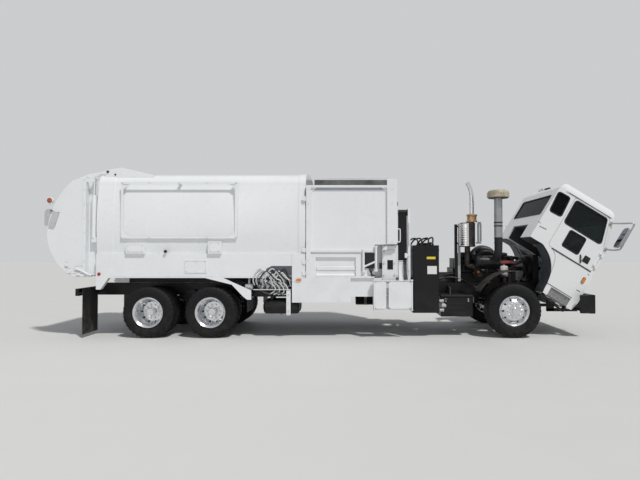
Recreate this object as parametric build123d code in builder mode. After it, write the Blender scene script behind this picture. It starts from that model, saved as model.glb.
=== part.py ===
"""Side-loading refuse truck with a tilt cab, parked with its cab tipped forward.

Millimetres. +X is forward, +Y is the truck's left, +Z is up. The origin is on the
ground, under the middle of the whole length and width.
"""
import os
from math import cos, radians, sin

from build123d import *

os.makedirs("parts", exist_ok=True)

# Clearances
seat = 0.3          # between pieces that rest on each other
shaft_gap = 0.05    # round a turning shaft
swing_gap = 8       # round a piece that moves

# Axles, from the middle of the truck's length
front_axle_x = 3670
wheelbase = 6975            # front axle to the middle of the rear pair
tandem = 1295               # between the two rear axles
pair_x = front_axle_x - wheelbase
mid_axle_x = pair_x + tandem / 2
rear_axle_x = mid_axle_x - tandem

# Wheels
front_tyre_r, front_tyre_w = 560, 415
rear_tyre_r, rear_tyre_w = 530, 265
rim_r, rim_wall, flange_r = 286, 12, 300
front_rim_w, rear_rim_w = 304, 230
front_wheel_y = 1030        # middle of the front tyre
dual_y = 935                # middle of each rear pair of tyres
dual_step = 170             # from there to the middle of each tyre
hand_holes = 10
front_spindle_r, rear_spindle_r = 50, 60
kingpin_y = 745

# Frame rails
rail_y, rail_top, rail_h, rail_flange, rail_t = 430, 1100, 270, 85, 12
rail_front = front_axle_x + 1240
rail_rear = pair_x - 2125

# Body, hopper and tailgate along the truck
body_rear = pair_x - 1725
rear_post_l = 325
body_front = front_axle_x - 4353
front_post_l = 147
hopper_rear = body_front + seat
hopper_front = front_axle_x - 2440
half_width = 1220
floor_z, ledge_z = 1250, 1757
wall = 30
ledge_y, belly_y, eave_y, roof_y = 1175, 1216, 1130, 960
belly_z, eave_z, eave_mid_y, eave_mid_z = 2450, 3200, 1075, 3345
roof_z, crown_z = 3420, 3540

# Cab, drawn as if lowered, then turned about its tilt pin
cab_tilt = 31.5
tilt_pin_x, tilt_pin_z, tilt_pin_r = front_axle_x + 1305, 984, 25
cab_half = 1060
cab_wall = 38
door_gap = 6
TURN = Pos(tilt_pin_x, 0, tilt_pin_z) * Rot(0, cab_tilt, 0) * Pos(-tilt_pin_x, 0, -tilt_pin_z)


def side(y):
    """A plane along the truck at y, drawn in x and z, facing its right."""
    return Plane.XZ.offset(-y)


def across(x):
    """A plane across the truck at x, drawn in y and z, facing forward."""
    return Plane.YZ.offset(x)


def x_at(from_axle):
    """A place along the truck, given from the front axle."""
    return front_axle_x + from_axle


def wheel_plane(x, y, z):
    """Half-section plane of a wheel: local x is its radius, local y points outboard."""
    outboard = 1 if y > 0 else -1
    return Plane(origin=(x, y, z), x_dir=(0, 0, 1), z_dir=(-outboard, 0, 0))


def spin_axis(x, z):
    """The line across the truck that a wheel turns about."""
    return Axis((x, 0, z), (0, 1, 0))


def block(x, y, z):
    """A box between two x, two y and two z values, in the block that is open."""
    with Locations(((x[0] + x[1]) / 2, (y[0] + y[1]) / 2, (z[0] + z[1]) / 2)):
        Box(x[1] - x[0], y[1] - y[0], z[1] - z[0])


# Frame rails with their crossmembers, the tilt pin's brackets and the rear beam with its tow eyes
rail_bottom = rail_top - rail_h
cross_x = [rail_rear + 60, pair_x - 1325, pair_x, pair_x + 1675, x_at(-3700), x_at(-1950), rail_front - 60]
cross_l, cross_z = 80, (rail_bottom + 40, rail_top - 60)
tilt_ear_y, tilt_ear_t, tilt_ear_h = 395, 35, 45
rear_beam_t, rear_beam_half, rear_beam_z = 70, 1150, (rail_bottom + 40, rail_bottom + 190)
tow_y, tow_z, tow_t, tow_reach, tow_eye_h, tow_bore_r = 300, 945, 30, 105, 45, 21
flap_t, rear_flap_x, front_flap_x = 12, pair_x - 2010, pair_x + 1413
flap_inner_y = 620
with BuildPart() as frame_rails:
    with BuildSketch(across(rail_rear)):
        for flip in (1, -1):
            with BuildLine():
                Polyline(
                    (flip * rail_y, rail_bottom), (flip * rail_y, rail_top),
                    (flip * (rail_y - rail_flange), rail_top),
                    (flip * (rail_y - rail_flange), rail_top - rail_t),
                    (flip * (rail_y - rail_t), rail_top - rail_t),
                    (flip * (rail_y - rail_t), rail_bottom + rail_t),
                    (flip * (rail_y - rail_flange), rail_bottom + rail_t),
                    (flip * (rail_y - rail_flange), rail_bottom), close=True)
            make_face()
    extrude(amount=rail_front - rail_rear)
    for x in cross_x:
        block((x - cross_l / 2, x + cross_l / 2), (-rail_y + rail_t, rail_y - rail_t), cross_z)
    for flip in (1, -1):
        with BuildSketch(side(flip * tilt_ear_y + tilt_ear_t / 2)):
            with BuildLine():
                ear_front = tilt_pin_x + 30
                Polyline((rail_front - 90, rail_bottom), (rail_front, rail_bottom),
                         (ear_front, tilt_pin_z - tilt_ear_h), (ear_front, tilt_pin_z + tilt_ear_h),
                         (rail_front, rail_top), (rail_front - 90, rail_top), close=True)
            make_face()
        extrude(amount=tilt_ear_t)
        with Locations(Location((tilt_pin_x, flip * 440, tilt_pin_z), (90, 0, 0))):
            Cylinder(tilt_pin_r, 190)
        block((rail_rear - rear_beam_t, rear_flap_x - seat),
              sorted((flip * flap_inner_y, flip * rear_beam_half)), (rear_beam_z[0] + 40, rear_beam_z[0] + 70))
        tow_end = rail_rear - rear_beam_t - tow_reach
        block((tow_end, rail_rear - rear_beam_t), (flip * tow_y - tow_t / 2, flip * tow_y + tow_t / 2),
              (tow_z - tow_eye_h, tow_z + tow_eye_h))
        with Locations(Location((tow_end + tow_eye_h, flip * tow_y, tow_z), (90, 0, 0))):
            Cylinder(tow_bore_r, tow_t + 10, mode=Mode.SUBTRACT)
    block((rail_rear - rear_beam_t, rail_rear), (-rear_beam_half, rear_beam_half), rear_beam_z)
frame_rails.part.label = "frame_rails"
export_step(frame_rails.part, "parts/frame_rails.step")

# Front axle beam with kingpin bosses
beam_top = front_tyre_r + 30
boss_r, boss_h, kingpin_r = 45, 190, 20
with BuildPart() as front_axle:
    block((front_axle_x - 45, front_axle_x + 45), (-kingpin_y, kingpin_y), (beam_top - 120, beam_top))
    with Locations([(front_axle_x, flip * kingpin_y, front_tyre_r) for flip in (1, -1)]):
        Cylinder(boss_r, boss_h)
        Cylinder(kingpin_r, boss_h + 110)
front_axle.part.label = "front_axle"
export_step(front_axle.part, "parts/front_axle.step")

# Rear axle housings with their differentials and prop shaft
axle_tube_r, diff_r = 70, 215
drum_in_y = 330             # from the middle of a pair to the drum's inner face
with BuildPart() as rear_axles:
    for x in (mid_axle_x, rear_axle_x):
        with Locations(Location((x, 0, rear_tyre_r), (90, 0, 0))):
            Cylinder(axle_tube_r, 2 * (dual_y - drum_in_y - swing_gap))
            Cylinder(rear_spindle_r, 2 * (dual_y + 60))
            Cylinder(diff_r, 150)
            Sphere(diff_r * 0.86)
    with Locations(Location(((mid_axle_x + rear_axle_x) / 2, 0, rear_tyre_r + 40), (0, 90, 0))):
        Cylinder(45, tandem - 2 * diff_r + 60)
rear_axles.part.label = "rear_axles"
export_step(rear_axles.part, "parts/rear_axles.step")

# Front leaf springs with their hangers, and the rear pair's walking beams and saddles
spring_y, spring_w, spring_l, leaf_t, leaves = 395, 76, 1300, 14, 5
walk_y, walk_w, walk_h = 490, 90, 130
saddle_x = (mid_axle_x + rear_axle_x) / 2
walk_top = rear_tyre_r - axle_tube_r - seat
with BuildPart() as suspension:
    for flip in (1, -1):
        y = (flip * spring_y - spring_w / 2, flip * spring_y + spring_w / 2)
        for leaf in range(leaves):
            reach = spring_l / 2 * (1 - 0.13 * (leaves - 1 - leaf))
            block((front_axle_x - reach, front_axle_x + reach), y,
                  (beam_top + seat + leaf * leaf_t, beam_top + seat + (leaf + 1) * leaf_t))
        for end in (-1, 1):
            x = front_axle_x + end * (spring_l / 2 - 45)
            block((x - 45, x + 45), y, (beam_top + seat + (leaves - 1) * leaf_t, rail_bottom - seat))
    for flip in (1, -1):
        y = (flip * walk_y - walk_w / 2, flip * walk_y + walk_w / 2)
        block((rear_axle_x - 90, mid_axle_x + 90), y, (walk_top - walk_h, walk_top))
        block((saddle_x - 110, saddle_x + 110), y, (walk_top, rail_bottom + 120))
        block((saddle_x - 260, saddle_x + 260), y, (rail_bottom - 90, rail_bottom - seat))
        block((saddle_x - 110, saddle_x + 110),
              sorted((flip * (rail_y + seat), flip * walk_y)), (rail_bottom, rail_bottom + 120))
suspension.part.label = "suspension"
export_step(suspension.part, "parts/suspension.step")


def tyre_outline(middle, radius, width, rim_w):
    """Half-section of a tyre, in the line block that is open."""
    inner = rim_r + seat
    bead = rim_w / 2 - 12
    belly_r, shoulder_r = (inner + radius) / 2, radius - 45
    half = width / 2
    Polyline((inner + 14, middle - bead), (inner, middle - bead), (inner, middle + bead),
             (inner + 14, middle + bead))
    ThreePointArc((inner + 14, middle + bead), (belly_r, middle + half), (shoulder_r, middle + half - 14))
    Polyline((shoulder_r, middle + half - 14), (radius, middle + half - 42),
             (radius, middle - half + 42), (shoulder_r, middle - half + 14))
    ThreePointArc((shoulder_r, middle - half + 14), (belly_r, middle - half), (inner + 14, middle - bead))


def barrel_points(middle, rim_w):
    """Outer line of a rim's barrel, from its inboard flange to its outboard one."""
    half = rim_w / 2
    return [(flange_r, middle - half), (flange_r, middle - half + 8), (rim_r, middle - half + 12),
            (rim_r, middle + half - 12), (flange_r, middle + half - 8), (flange_r, middle + half)]


# Front wheels: tyre, dished disc with its hub
front_wheels = {"right": -1, "left": 1}
disc_y, hub_r, drum_r = 155, 108, 205
for name, flip in front_wheels.items():
    plane = wheel_plane(front_axle_x, flip * front_wheel_y, front_tyre_r)
    with BuildPart() as tyre:
        with BuildSketch(plane):
            with BuildLine():
                tyre_outline(0, front_tyre_r, front_tyre_w, front_rim_w)
            make_face()
        revolve(axis=spin_axis(front_axle_x, front_tyre_r))
    tyre.part.label = f"tyre_front_{name}"
    export_step(tyre.part, f"parts/tyre_front_{name}.step")

    half = front_rim_w / 2
    bore_r = front_spindle_r + shaft_gap
    inner_r = rim_r - rim_wall
    with BuildPart() as rim:
        with BuildSketch(plane):
            with BuildLine():
                Polyline(*barrel_points(0, front_rim_w),
                         (flange_r - 12, half), (inner_r, half - 14), (inner_r, disc_y - 45),
                         (inner_r - 76, disc_y + 12), (hub_r, disc_y + 12), (hub_r - 12, disc_y + 26),
                         (72, disc_y + 30), (66, disc_y + 52), (0, disc_y + 52), (0, 136), (bore_r, 136),
                         (bore_r, -80), (drum_r - 22, -80), (drum_r - 22, -140), (drum_r, -140),
                         (drum_r, 20), (hub_r, 20), (hub_r, disc_y - 2), (inner_r - 82, disc_y - 2),
                         (inner_r - 8, disc_y - 55), (inner_r, -half + 14), (flange_r - 12, -half),
                         close=True)
            make_face()
        revolve(axis=spin_axis(front_axle_x, front_tyre_r))
        with Locations(Plane(origin=(front_axle_x, flip * (front_wheel_y + disc_y), front_tyre_r),
                             x_dir=(1, 0, 0), z_dir=(0, flip, 0))):
            with PolarLocations(232, hand_holes):
                Cylinder(21, 120, mode=Mode.SUBTRACT)
    rim.part.label = f"rim_front_{name}"
    export_step(rim.part, f"parts/rim_front_{name}.step")

    # Knuckle: a fork round the kingpin boss, a plate and the spindle
    fork = boss_h / 2 + swing_gap
    with BuildPart() as knuckle:
        for z in (1, -1):
            block((front_axle_x - 50, front_axle_x + 50),
                  sorted((flip * (kingpin_y - 45), flip * (kingpin_y + 100))),
                  sorted((front_tyre_r + z * fork, front_tyre_r + z * (fork + 34))))
        block((front_axle_x - 60, front_axle_x + 60),
              sorted((flip * (kingpin_y + 70), flip * (kingpin_y + 100))),
              (front_tyre_r - fork - 34, front_tyre_r + fork + 34))
        with Locations(Location((front_axle_x, flip * (kingpin_y + 255), front_tyre_r), (90, 0, 0))):
            Cylinder(front_spindle_r, 2 * (255 - 95))
        with Locations((front_axle_x, flip * kingpin_y, front_tyre_r)):
            Cylinder(kingpin_r + shaft_gap, 2 * fork + 200, mode=Mode.SUBTRACT)
    knuckle.part.label = f"knuckle_{name}"
    export_step(knuckle.part, f"parts/knuckle_{name}.step")

# Rear wheels: two tyres on two dished rims, with the drum and hub
rear_places = {"mid_right": (mid_axle_x, -1), "mid_left": (mid_axle_x, 1),
               "rear_right": (rear_axle_x, -1), "rear_left": (rear_axle_x, 1)}
for name, (x, flip) in rear_places.items():
    plane = wheel_plane(x, flip * dual_y, rear_tyre_r)
    with BuildPart() as tyres:
        for step in (dual_step, -dual_step):
            with BuildSketch(plane):
                with BuildLine():
                    tyre_outline(step, rear_tyre_r, rear_tyre_w, rear_rim_w)
                make_face()
        revolve(axis=spin_axis(x, rear_tyre_r))
    tyres.part.label = f"tyres_{name}"
    export_step(tyres.part, f"parts/tyres_{name}.step")

    half = rear_rim_w / 2
    inner_r = rim_r - rim_wall
    with BuildPart() as rims:
        for out in (1, -1):
            with BuildSketch(plane):
                with BuildLine():
                    Polyline(*[(r, out * y) for r, y in
                               barrel_points(dual_step, rear_rim_w)
                               + [(flange_r - 12, dual_step + half), (inner_r, dual_step + half - 14),
                                  (inner_r, 122), (205, 14), (hub_r, 14), (hub_r, 0), (200, 0),
                                  (inner_r - 10, 92), (inner_r, 72), (flange_r - 12, dual_step - half)]],
                             close=True)
                make_face()
            revolve(axis=spin_axis(x, rear_tyre_r))
        with BuildSketch(plane):
            with BuildLine():
                Polyline((rear_spindle_r + shaft_gap, -drum_in_y), (drum_r, -drum_in_y), (drum_r, -110),
                         (hub_r + 6, -100), (hub_r + 6, 16), (92, 24), (92, 150), (70, 172), (0, 172),
                         (0, 70), (rear_spindle_r + shaft_gap, 70), close=True)
            make_face()
        revolve(axis=spin_axis(x, rear_tyre_r))
        with Locations(Plane(origin=(x, flip * dual_y, rear_tyre_r), x_dir=(1, 0, 0), z_dir=(0, flip, 0))):
            with PolarLocations(222, hand_holes):
                Cylinder(20, 240, mode=Mode.SUBTRACT)
    rims.part.label = f"rims_{name}"
    export_step(rims.part, f"parts/rims_{name}.step")

# Engine with its gearbox, fan and radiator, one plain mass with its main lumps
engine_half = 320
with BuildPart() as engine:
    block((x_at(-1100), x_at(330)), (-engine_half, engine_half), (rail_bottom - 60, 1420))
    block((x_at(-1060), x_at(280)), (-230, 230), (1420, 1640))
    block((x_at(-950), x_at(200)), (-130, 130), (1640, 1760))
    block((x_at(-1800), x_at(-1100)), (-230, 230), (rail_bottom - 20, rail_top - 20))
    with Locations(Location((x_at(-1300), 0, 1050), (0, 90, 0))):
        Cylinder(270, 400)
    with Locations(Location((x_at(-560), -380, 1300), (90, 0, 0))):
        Cylinder(105, 130)
    block((x_at(700), x_at(800)), (-400, 400), (rail_top + seat, 1700))
    with Locations(Location((x_at(660), 0, 1400), (0, 90, 0))):
        Cylinder(290, 80)
        Cylinder(50, 690)
    with Locations(Location((x_at(560), 0, 1400), (0, 90, 0))):
        Cylinder(240, 50)
engine.part.label = "engine"
export_step(engine.part, "parts/engine.step")

# Exhaust: muffler in its heat shield on a post behind the cab, and the stack
muffler_x, muffler_y, muffler_r, muffler_z = x_at(-800), -470, 175, (1900, 2440)
shield_t, shield_gap = 8, 22
stack_x, stack_r, stack_bend_z, stack_bend_r = x_at(-700), 50, 3000, 628
post_x, post_w = x_at(-1040), 60
post_y_mid = -rail_y + 45
with BuildPart() as exhaust_stack:
    block((post_x - post_w / 2, post_x + post_w / 2), (post_y_mid - post_w / 2, post_y_mid + post_w / 2),
          (rail_top + seat, muffler_z[1] - 30))
    for z in (muffler_z[0] + 80, muffler_z[1] - 80):
        block((post_x, muffler_x), (post_y_mid - 80, post_y_mid), (z - 20, z + 20))
    with Locations((muffler_x, muffler_y, sum(muffler_z) / 2)):
        Cylinder(muffler_r, muffler_z[1] - muffler_z[0])
    with Locations((muffler_x, muffler_y, muffler_z[0] - 200)):
        Cylinder(stack_r + 12, 420)
    with Locations((stack_x, muffler_y, muffler_z[1] + 100)):
        Cylinder(stack_r + 45, 210)
    with BuildSketch(Plane.XY.offset(muffler_z[1])):
        with Locations((stack_x, muffler_y)):
            Circle(stack_r)
    with BuildLine(side(muffler_y)):
        Line((stack_x, muffler_z[1]), (stack_x, stack_bend_z))
        JernArc((stack_x, stack_bend_z), (0, 1), stack_bend_r, 33)
    sweep()
    with BuildSketch(Plane.XY.offset(muffler_z[0] + 20)):
        with Locations((muffler_x, muffler_y)):
            Circle(muffler_r + shield_gap + shield_t)
            Circle(muffler_r + shield_gap, mode=Mode.SUBTRACT)
        with Locations((muffler_x + 250, muffler_y)):
            Rectangle(460, 900, mode=Mode.SUBTRACT)
    extrude(amount=muffler_z[1] - muffler_z[0] - 40)
    for z in (muffler_z[0] + 80, muffler_z[1] - 80):
        block((muffler_x - muffler_r - shield_gap - 2, muffler_x), (muffler_y - 15, muffler_y + 15),
              (z - 10, z + 10))
exhaust_stack.part.label = "exhaust_stack"
export_step(exhaust_stack.part, "parts/exhaust_stack.step")

# Air intake: rain cap on a tall pipe, with the cleaner at its foot
intake_x, intake_y, intake_r = x_at(-250), -940, 86
cap_r, cap_z, cap_h = 232, 2945, 175
cleaner_z, cleaner_r, cleaner_y, cleaner_x = 1565, 155, -740, (x_at(-690), x_at(-170))
with BuildPart() as air_intake:
    with Locations((intake_x, intake_y, cap_z + cap_h / 2)):
        Cylinder(cap_r, cap_h)
    fillet(air_intake.edges().group_by(Axis.Z)[-1], 55)
    with Locations((intake_x, intake_y, (cleaner_z + cap_z) / 2)):
        Cylinder(intake_r, cap_z - cleaner_z + 60)
    with Locations(Location((sum(cleaner_x) / 2, cleaner_y, cleaner_z), (0, 90, 0))):
        Cylinder(cleaner_r, cleaner_x[1] - cleaner_x[0])
    block((intake_x - 60, intake_x + 60), (intake_y, cleaner_y), (cleaner_z - 30, cleaner_z + 60))
    block((x_at(-480), x_at(-420)), (cleaner_y - 30, cleaner_y + 30), (rail_top - 60, cleaner_z - 120))
    block((x_at(-480), x_at(-420)), (cleaner_y - 30, -rail_y - seat), (rail_top - 60, rail_top - 10))
air_intake.part.label = "air_intake"
export_step(air_intake.part, "parts/air_intake.step")

# Hydraulic oil tank behind the cab on the right
tank_x, tank_y, tank_z = (x_at(-2115), x_at(-1560)), (-1180, -450), (520, 1930)
with BuildPart() as hydraulic_tank:
    block(tank_x, tank_y, tank_z)
    fillet(hydraulic_tank.edges().filter_by(Axis.Z), 40)
    with Locations((x_at(-1840), -820, tank_z[1] + 25)):
        Cylinder(110, 50)
    with Locations((x_at(-1700), -820, tank_z[1] + 35)):
        Cylinder(45, 70)
    for x in (x_at(-2000), x_at(-1680)):
        block((x - 30, x + 30), (tank_y[1] - 5, -rail_y - seat), (rail_bottom + 30, rail_top - 30))
hydraulic_tank.part.label = "hydraulic_tank"
export_step(hydraulic_tank.part, "parts/hydraulic_tank.step")

# Fuel tank on the left, and air tanks and the battery box on the right, in their brackets
fuel_x, fuel_y, fuel_z, fuel_r = (x_at(-3300), x_at(-1750)), 790, 760, 290
air_x, air_y, air_z, air_r = (pair_x + 1725, pair_x + 2495), (-1040, -720), 640, 150
battery_x, battery_y, battery_z = (x_at(-1500), x_at(-820)), (-1020, -rail_y - seat), (420, 880)
battery_lid, battery_lip = 60, 12
with BuildPart() as side_tanks:
    with Locations(Location(((fuel_x[0] + fuel_x[1]) / 2, fuel_y, fuel_z), (0, 90, 0))):
        Cylinder(fuel_r, fuel_x[1] - fuel_x[0])
    for x in (fuel_x[0] + 250, fuel_x[1] - 250):
        block((x - 35, x + 35), (rail_y + seat, fuel_y), (fuel_z + 90, fuel_z + 150))
    for y in air_y:
        with Locations(Location(((air_x[0] + air_x[1]) / 2, y, air_z), (0, 90, 0))):
            Cylinder(air_r, air_x[1] - air_x[0])
    for x in (air_x[0] + 180, air_x[1] - 180):
        block((x - 30, x + 30), (air_y[0], -rail_y - seat), (rail_bottom + 10, rail_bottom + 60))
        for y in air_y:
            block((x - 30, x + 30), (y - 40, y + 40), (air_z, rail_bottom + 40))
    block(battery_x, battery_y, battery_z)
    block((battery_x[0] - battery_lip, battery_x[1] + battery_lip),
          (battery_y[0] - battery_lip, battery_y[1]), (battery_z[1] - battery_lid, battery_z[1]))
side_tanks.part.label = "side_tanks"
export_step(side_tanks.part, "parts/side_tanks.step")

# Front bumper on arms that drop from the rails and pass under the cab
bumper_x, bumper_z = (x_at(1535), x_at(1670)), (510, 900)
bumper_wrap_x, bumper_t = x_at(1365), 60
arm_x, arm_w, arm_z = x_at(960), 60, (465, 535)
with BuildPart() as front_bumper:
    block(bumper_x, (-half_width, half_width), bumper_z)
    for flip in (1, -1):
        wrap_y = sorted((flip * (half_width - bumper_t), flip * half_width))
        block((bumper_wrap_x, bumper_x[1]), wrap_y, bumper_z)
        arm_y = sorted((flip * (rail_y + seat), flip * (rail_y + seat + arm_w)))
        block((arm_x, arm_x + 160), arm_y, (arm_z[0], rail_top - 40))
        block((arm_x, bumper_x[1] - 30), arm_y, arm_z)
front_bumper.part.label = "front_bumper"
export_step(front_bumper.part, "parts/front_bumper.step")

# Quarter fenders over the front wheels, on brackets from the rails
fender_r, fender_t, fender_y = 825, 8, (800, 1232)
fender_from, fender_to = 84, 151
with BuildPart() as fenders:
    for flip in (1, -1):
        with BuildSketch(side(max(flip * fender_y[0], flip * fender_y[1]))):
            with BuildLine():
                for r in (fender_r, fender_r + fender_t):
                    CenterArc((front_axle_x, front_tyre_r), r, fender_from, fender_to - fender_from)
                for a in (fender_from, fender_to):
                    x, z = fender_r * cos(radians(a)), fender_r * sin(radians(a))
                    PolarLine((front_axle_x + x, front_tyre_r + z), fender_t, a)
            make_face()
        extrude(amount=fender_y[1] - fender_y[0])
        block((x_at(-720), x_at(-680)), sorted((flip * (rail_y + seat), flip * (fender_y[0] + 60))),
              (1000, 1040))
fenders.part.label = "fenders"
export_step(fenders.part, "parts/fenders.step")

# Rubber mud flaps behind the rear wheels, and before them under the rear fenders
flap_outer_y, rear_flap_z, front_flap_bottom = 1215, (75, 1010), 540
rear_fender_y, rear_fender_z = (640, 1225), 800
with BuildPart() as mud_flaps:
    for flip in (1, -1):
        block((rear_flap_x, rear_flap_x + flap_t), sorted((flip * flap_inner_y, flip * flap_outer_y)),
              rear_flap_z)
        block((front_flap_x, front_flap_x + flap_t), sorted((flip * rear_fender_y[0], flip * flap_outer_y)),
              (front_flap_bottom, rear_fender_z - seat))
mud_flaps.part.label = "mud_flaps"
export_step(mud_flaps.part, "parts/mud_flaps.step")


def barrel_outline(grow, bottom):
    """Closed section of the body with its bowed sides and roof, in the line block that is open."""
    ledge, eave, roof = ledge_y + grow, eave_y + grow, roof_y + grow * 0.5
    corner = (eave_mid_y + grow * 0.7, eave_mid_z + grow * 0.7)
    Polyline((-ledge, ledge_z), (-ledge, bottom), (ledge, bottom), (ledge, ledge_z))
    for flip in (1, -1):
        ThreePointArc((flip * ledge, ledge_z), (flip * (belly_y + grow), belly_z), (flip * eave, eave_z))
        ThreePointArc((flip * eave, eave_z), (flip * corner[0], corner[1]), (flip * roof, roof_z + grow))
    ThreePointArc((roof, roof_z + grow), (0, crown_z + grow), (-roof, roof_z + grow))


# Load body: one skin for both bowed sides and the roof
shell_x = (body_rear + rear_post_l, body_front - front_post_l)
with BuildPart() as body_shell:
    with BuildSketch(across(shell_x[0])):
        with BuildLine():
            barrel_outline(0, ledge_z - 1)
        make_face()
        with BuildLine():
            barrel_outline(-wall, ledge_z - 100)
        make_face(mode=Mode.SUBTRACT)
    extrude(amount=shell_x[1] - shell_x[0])
    split(bisect_by=Plane.XY.offset(ledge_z), keep=Keep.TOP)
body_shell.part.label = "body_shell"
export_step(body_shell.part, "parts/body_shell.step")

# Floor pan of the body: floor, upright sills with their ledges, and bearers on the rails
with BuildPart() as body_floor:
    with BuildSketch(across(shell_x[0])):
        for flip in (1, -1):
            with Locations((flip * (half_width - wall / 2), (floor_z + ledge_z) / 2)):
                Rectangle(wall, ledge_z - floor_z)
            with Locations((flip * (half_width + ledge_y - wall) / 2, ledge_z - wall / 2)):
                Rectangle(half_width - ledge_y + wall, wall)
            with Locations((flip * (rail_y - 40), (rail_top + seat + floor_z) / 2)):
                Rectangle(80, floor_z - rail_top - seat)
        with Locations((0, floor_z + 20)):
            Rectangle(2 * half_width, 40)
    extrude(amount=shell_x[1] - shell_x[0])
body_floor.part.label = "body_floor"
export_step(body_floor.part, "parts/body_floor.step")

# Rear and front frames of the body, with the tailgate's hinge brackets on the roof
gate_pin_x, gate_pin_z, gate_pin_r = body_rear + 140, 3490, 22
bracket_y = ((905, 965), (1025, 1060))
post_y, post_foot_z, post_foot_w, post_toe = 1228, 1010, 95, 90
bracket_foot_x = body_rear + 1120
with BuildPart() as body_frames:
    for x, length in ((body_rear, rear_post_l), (body_front - front_post_l, front_post_l)):
        with BuildSketch(across(x)):
            with BuildLine():
                barrel_outline(12, ledge_z - 20)
            make_face()
            with Locations((0, (floor_z + ledge_z) / 2)):
                Rectangle(2 * post_y, ledge_z - floor_z)
            with BuildLine():
                barrel_outline(-100, floor_z + 40)
            make_face(mode=Mode.SUBTRACT)
        extrude(amount=length)
    for flip in (1, -1):
        with BuildSketch(side(max(flip * (post_y - post_foot_w), flip * post_y))):
            with BuildLine():
                Polyline((body_rear, floor_z), (body_rear, post_foot_z), (body_rear + post_toe, post_foot_z),
                         (body_rear + rear_post_l * 0.8, floor_z), close=True)
            make_face()
        extrude(amount=post_foot_w)
        for span in bracket_y:
            y0 = min(flip * span[0], flip * span[1])
            with BuildSketch(side(y0 + span[1] - span[0])):
                with BuildLine():
                    Polyline((gate_pin_x - 44, gate_pin_z), (gate_pin_x - 40, gate_pin_z + 30),
                             (gate_pin_x, gate_pin_z + 44), (body_rear + 430, crown_z + 40),
                             (bracket_foot_x, roof_z),
                             (bracket_foot_x, roof_z - 60), (gate_pin_x - 44, roof_z - 110), close=True)
                make_face()
            extrude(amount=span[1] - span[0])
        with Locations(Location((gate_pin_x, flip * 982, gate_pin_z), (90, 0, 0))):
            Cylinder(gate_pin_r, bracket_y[1][1] - bracket_y[0][0])
        block((body_rear, body_rear + rear_post_l), sorted((flip * 300, flip * rail_y)),
              (rail_top + seat, floor_z))
    with BuildSketch(across(shell_x[0])):
        with BuildLine():
            barrel_outline(seat, floor_z)
        make_face()
    extrude(amount=bracket_foot_x - shell_x[0] + 10, mode=Mode.SUBTRACT)
    with BuildSketch(across(body_front - wall)):
        with BuildLine():
            barrel_outline(-90, floor_z + 40)
        make_face()
        with Locations((0, ledge_z)):
            Rectangle(2 * half_width, 2 * (2500 - ledge_z), mode=Mode.SUBTRACT)
    extrude(amount=wall)
body_frames.part.label = "body_frames"
export_step(body_frames.part, "parts/body_frames.step")

# Flat sign frames that stand off the bowed sides
sign_x, sign_z, sign_bar = (body_rear + 510, body_front - 1422), (2070, 3247), 42
sign_y = (1226, 1246)
with BuildPart() as sign_frames:
    for flip in (1, -1):
        with BuildSketch(side(max(flip * sign_y[0], flip * sign_y[1]))):
            with Locations(((sign_x[0] + sign_x[1]) / 2, (sign_z[0] + sign_z[1]) / 2)):
                Rectangle(sign_x[1] - sign_x[0], sign_z[1] - sign_z[0])
                Rectangle(sign_x[1] - sign_x[0] - 2 * sign_bar, sign_z[1] - sign_z[0] - 2 * sign_bar,
                          mode=Mode.SUBTRACT)
        extrude(amount=sign_y[1] - sign_y[0])
        for x in (sign_x[0] + 60, (sign_x[0] + sign_x[1]) / 2, sign_x[1] - 60):
            for z in (sign_z[0] + 20, sign_z[1] - 30):
                block((x - 30, x + 30), sorted((flip * 1040, flip * sign_y[0])), (z - 15, z + 15))
    with BuildSketch(across(shell_x[0])):
        with BuildLine():
            barrel_outline(seat, floor_z)
        make_face()
    extrude(amount=shell_x[1] - shell_x[0], mode=Mode.SUBTRACT)
sign_frames.part.label = "sign_frames"
export_step(sign_frames.part, "parts/sign_frames.step")

# Fittings on the body's sides: rear fenders with their lips, boxes on the ledge, hatches and front posts
lip_t, strip_t = 22, 12
pan_bottom = floor_z - seat
fender_strip = [(pair_x + 535, pan_bottom), (pair_x + 1095, 1110), (pair_x + 1335, 860),
                (pair_x + 1425, rear_fender_z), (pair_x + 1425, rear_fender_z + strip_t),
                (pair_x + 1345, 868), (pair_x + 1101, 1122), (pair_x + 595, pan_bottom)]
fender_lip = [(pair_x + 535, pan_bottom), (pair_x + 915, pan_bottom), (pair_x + 1497, 990),
              (pair_x + 1497, rear_fender_z), (pair_x + 1415, rear_fender_z), (pair_x + 1335, 860),
              (pair_x + 1095, 1110)]
tray_x, tray_z, tray_hanger_in = (pair_x + 1535, body_front - 307), (1000, 1012), 140
post_back = body_front - 277
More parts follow.
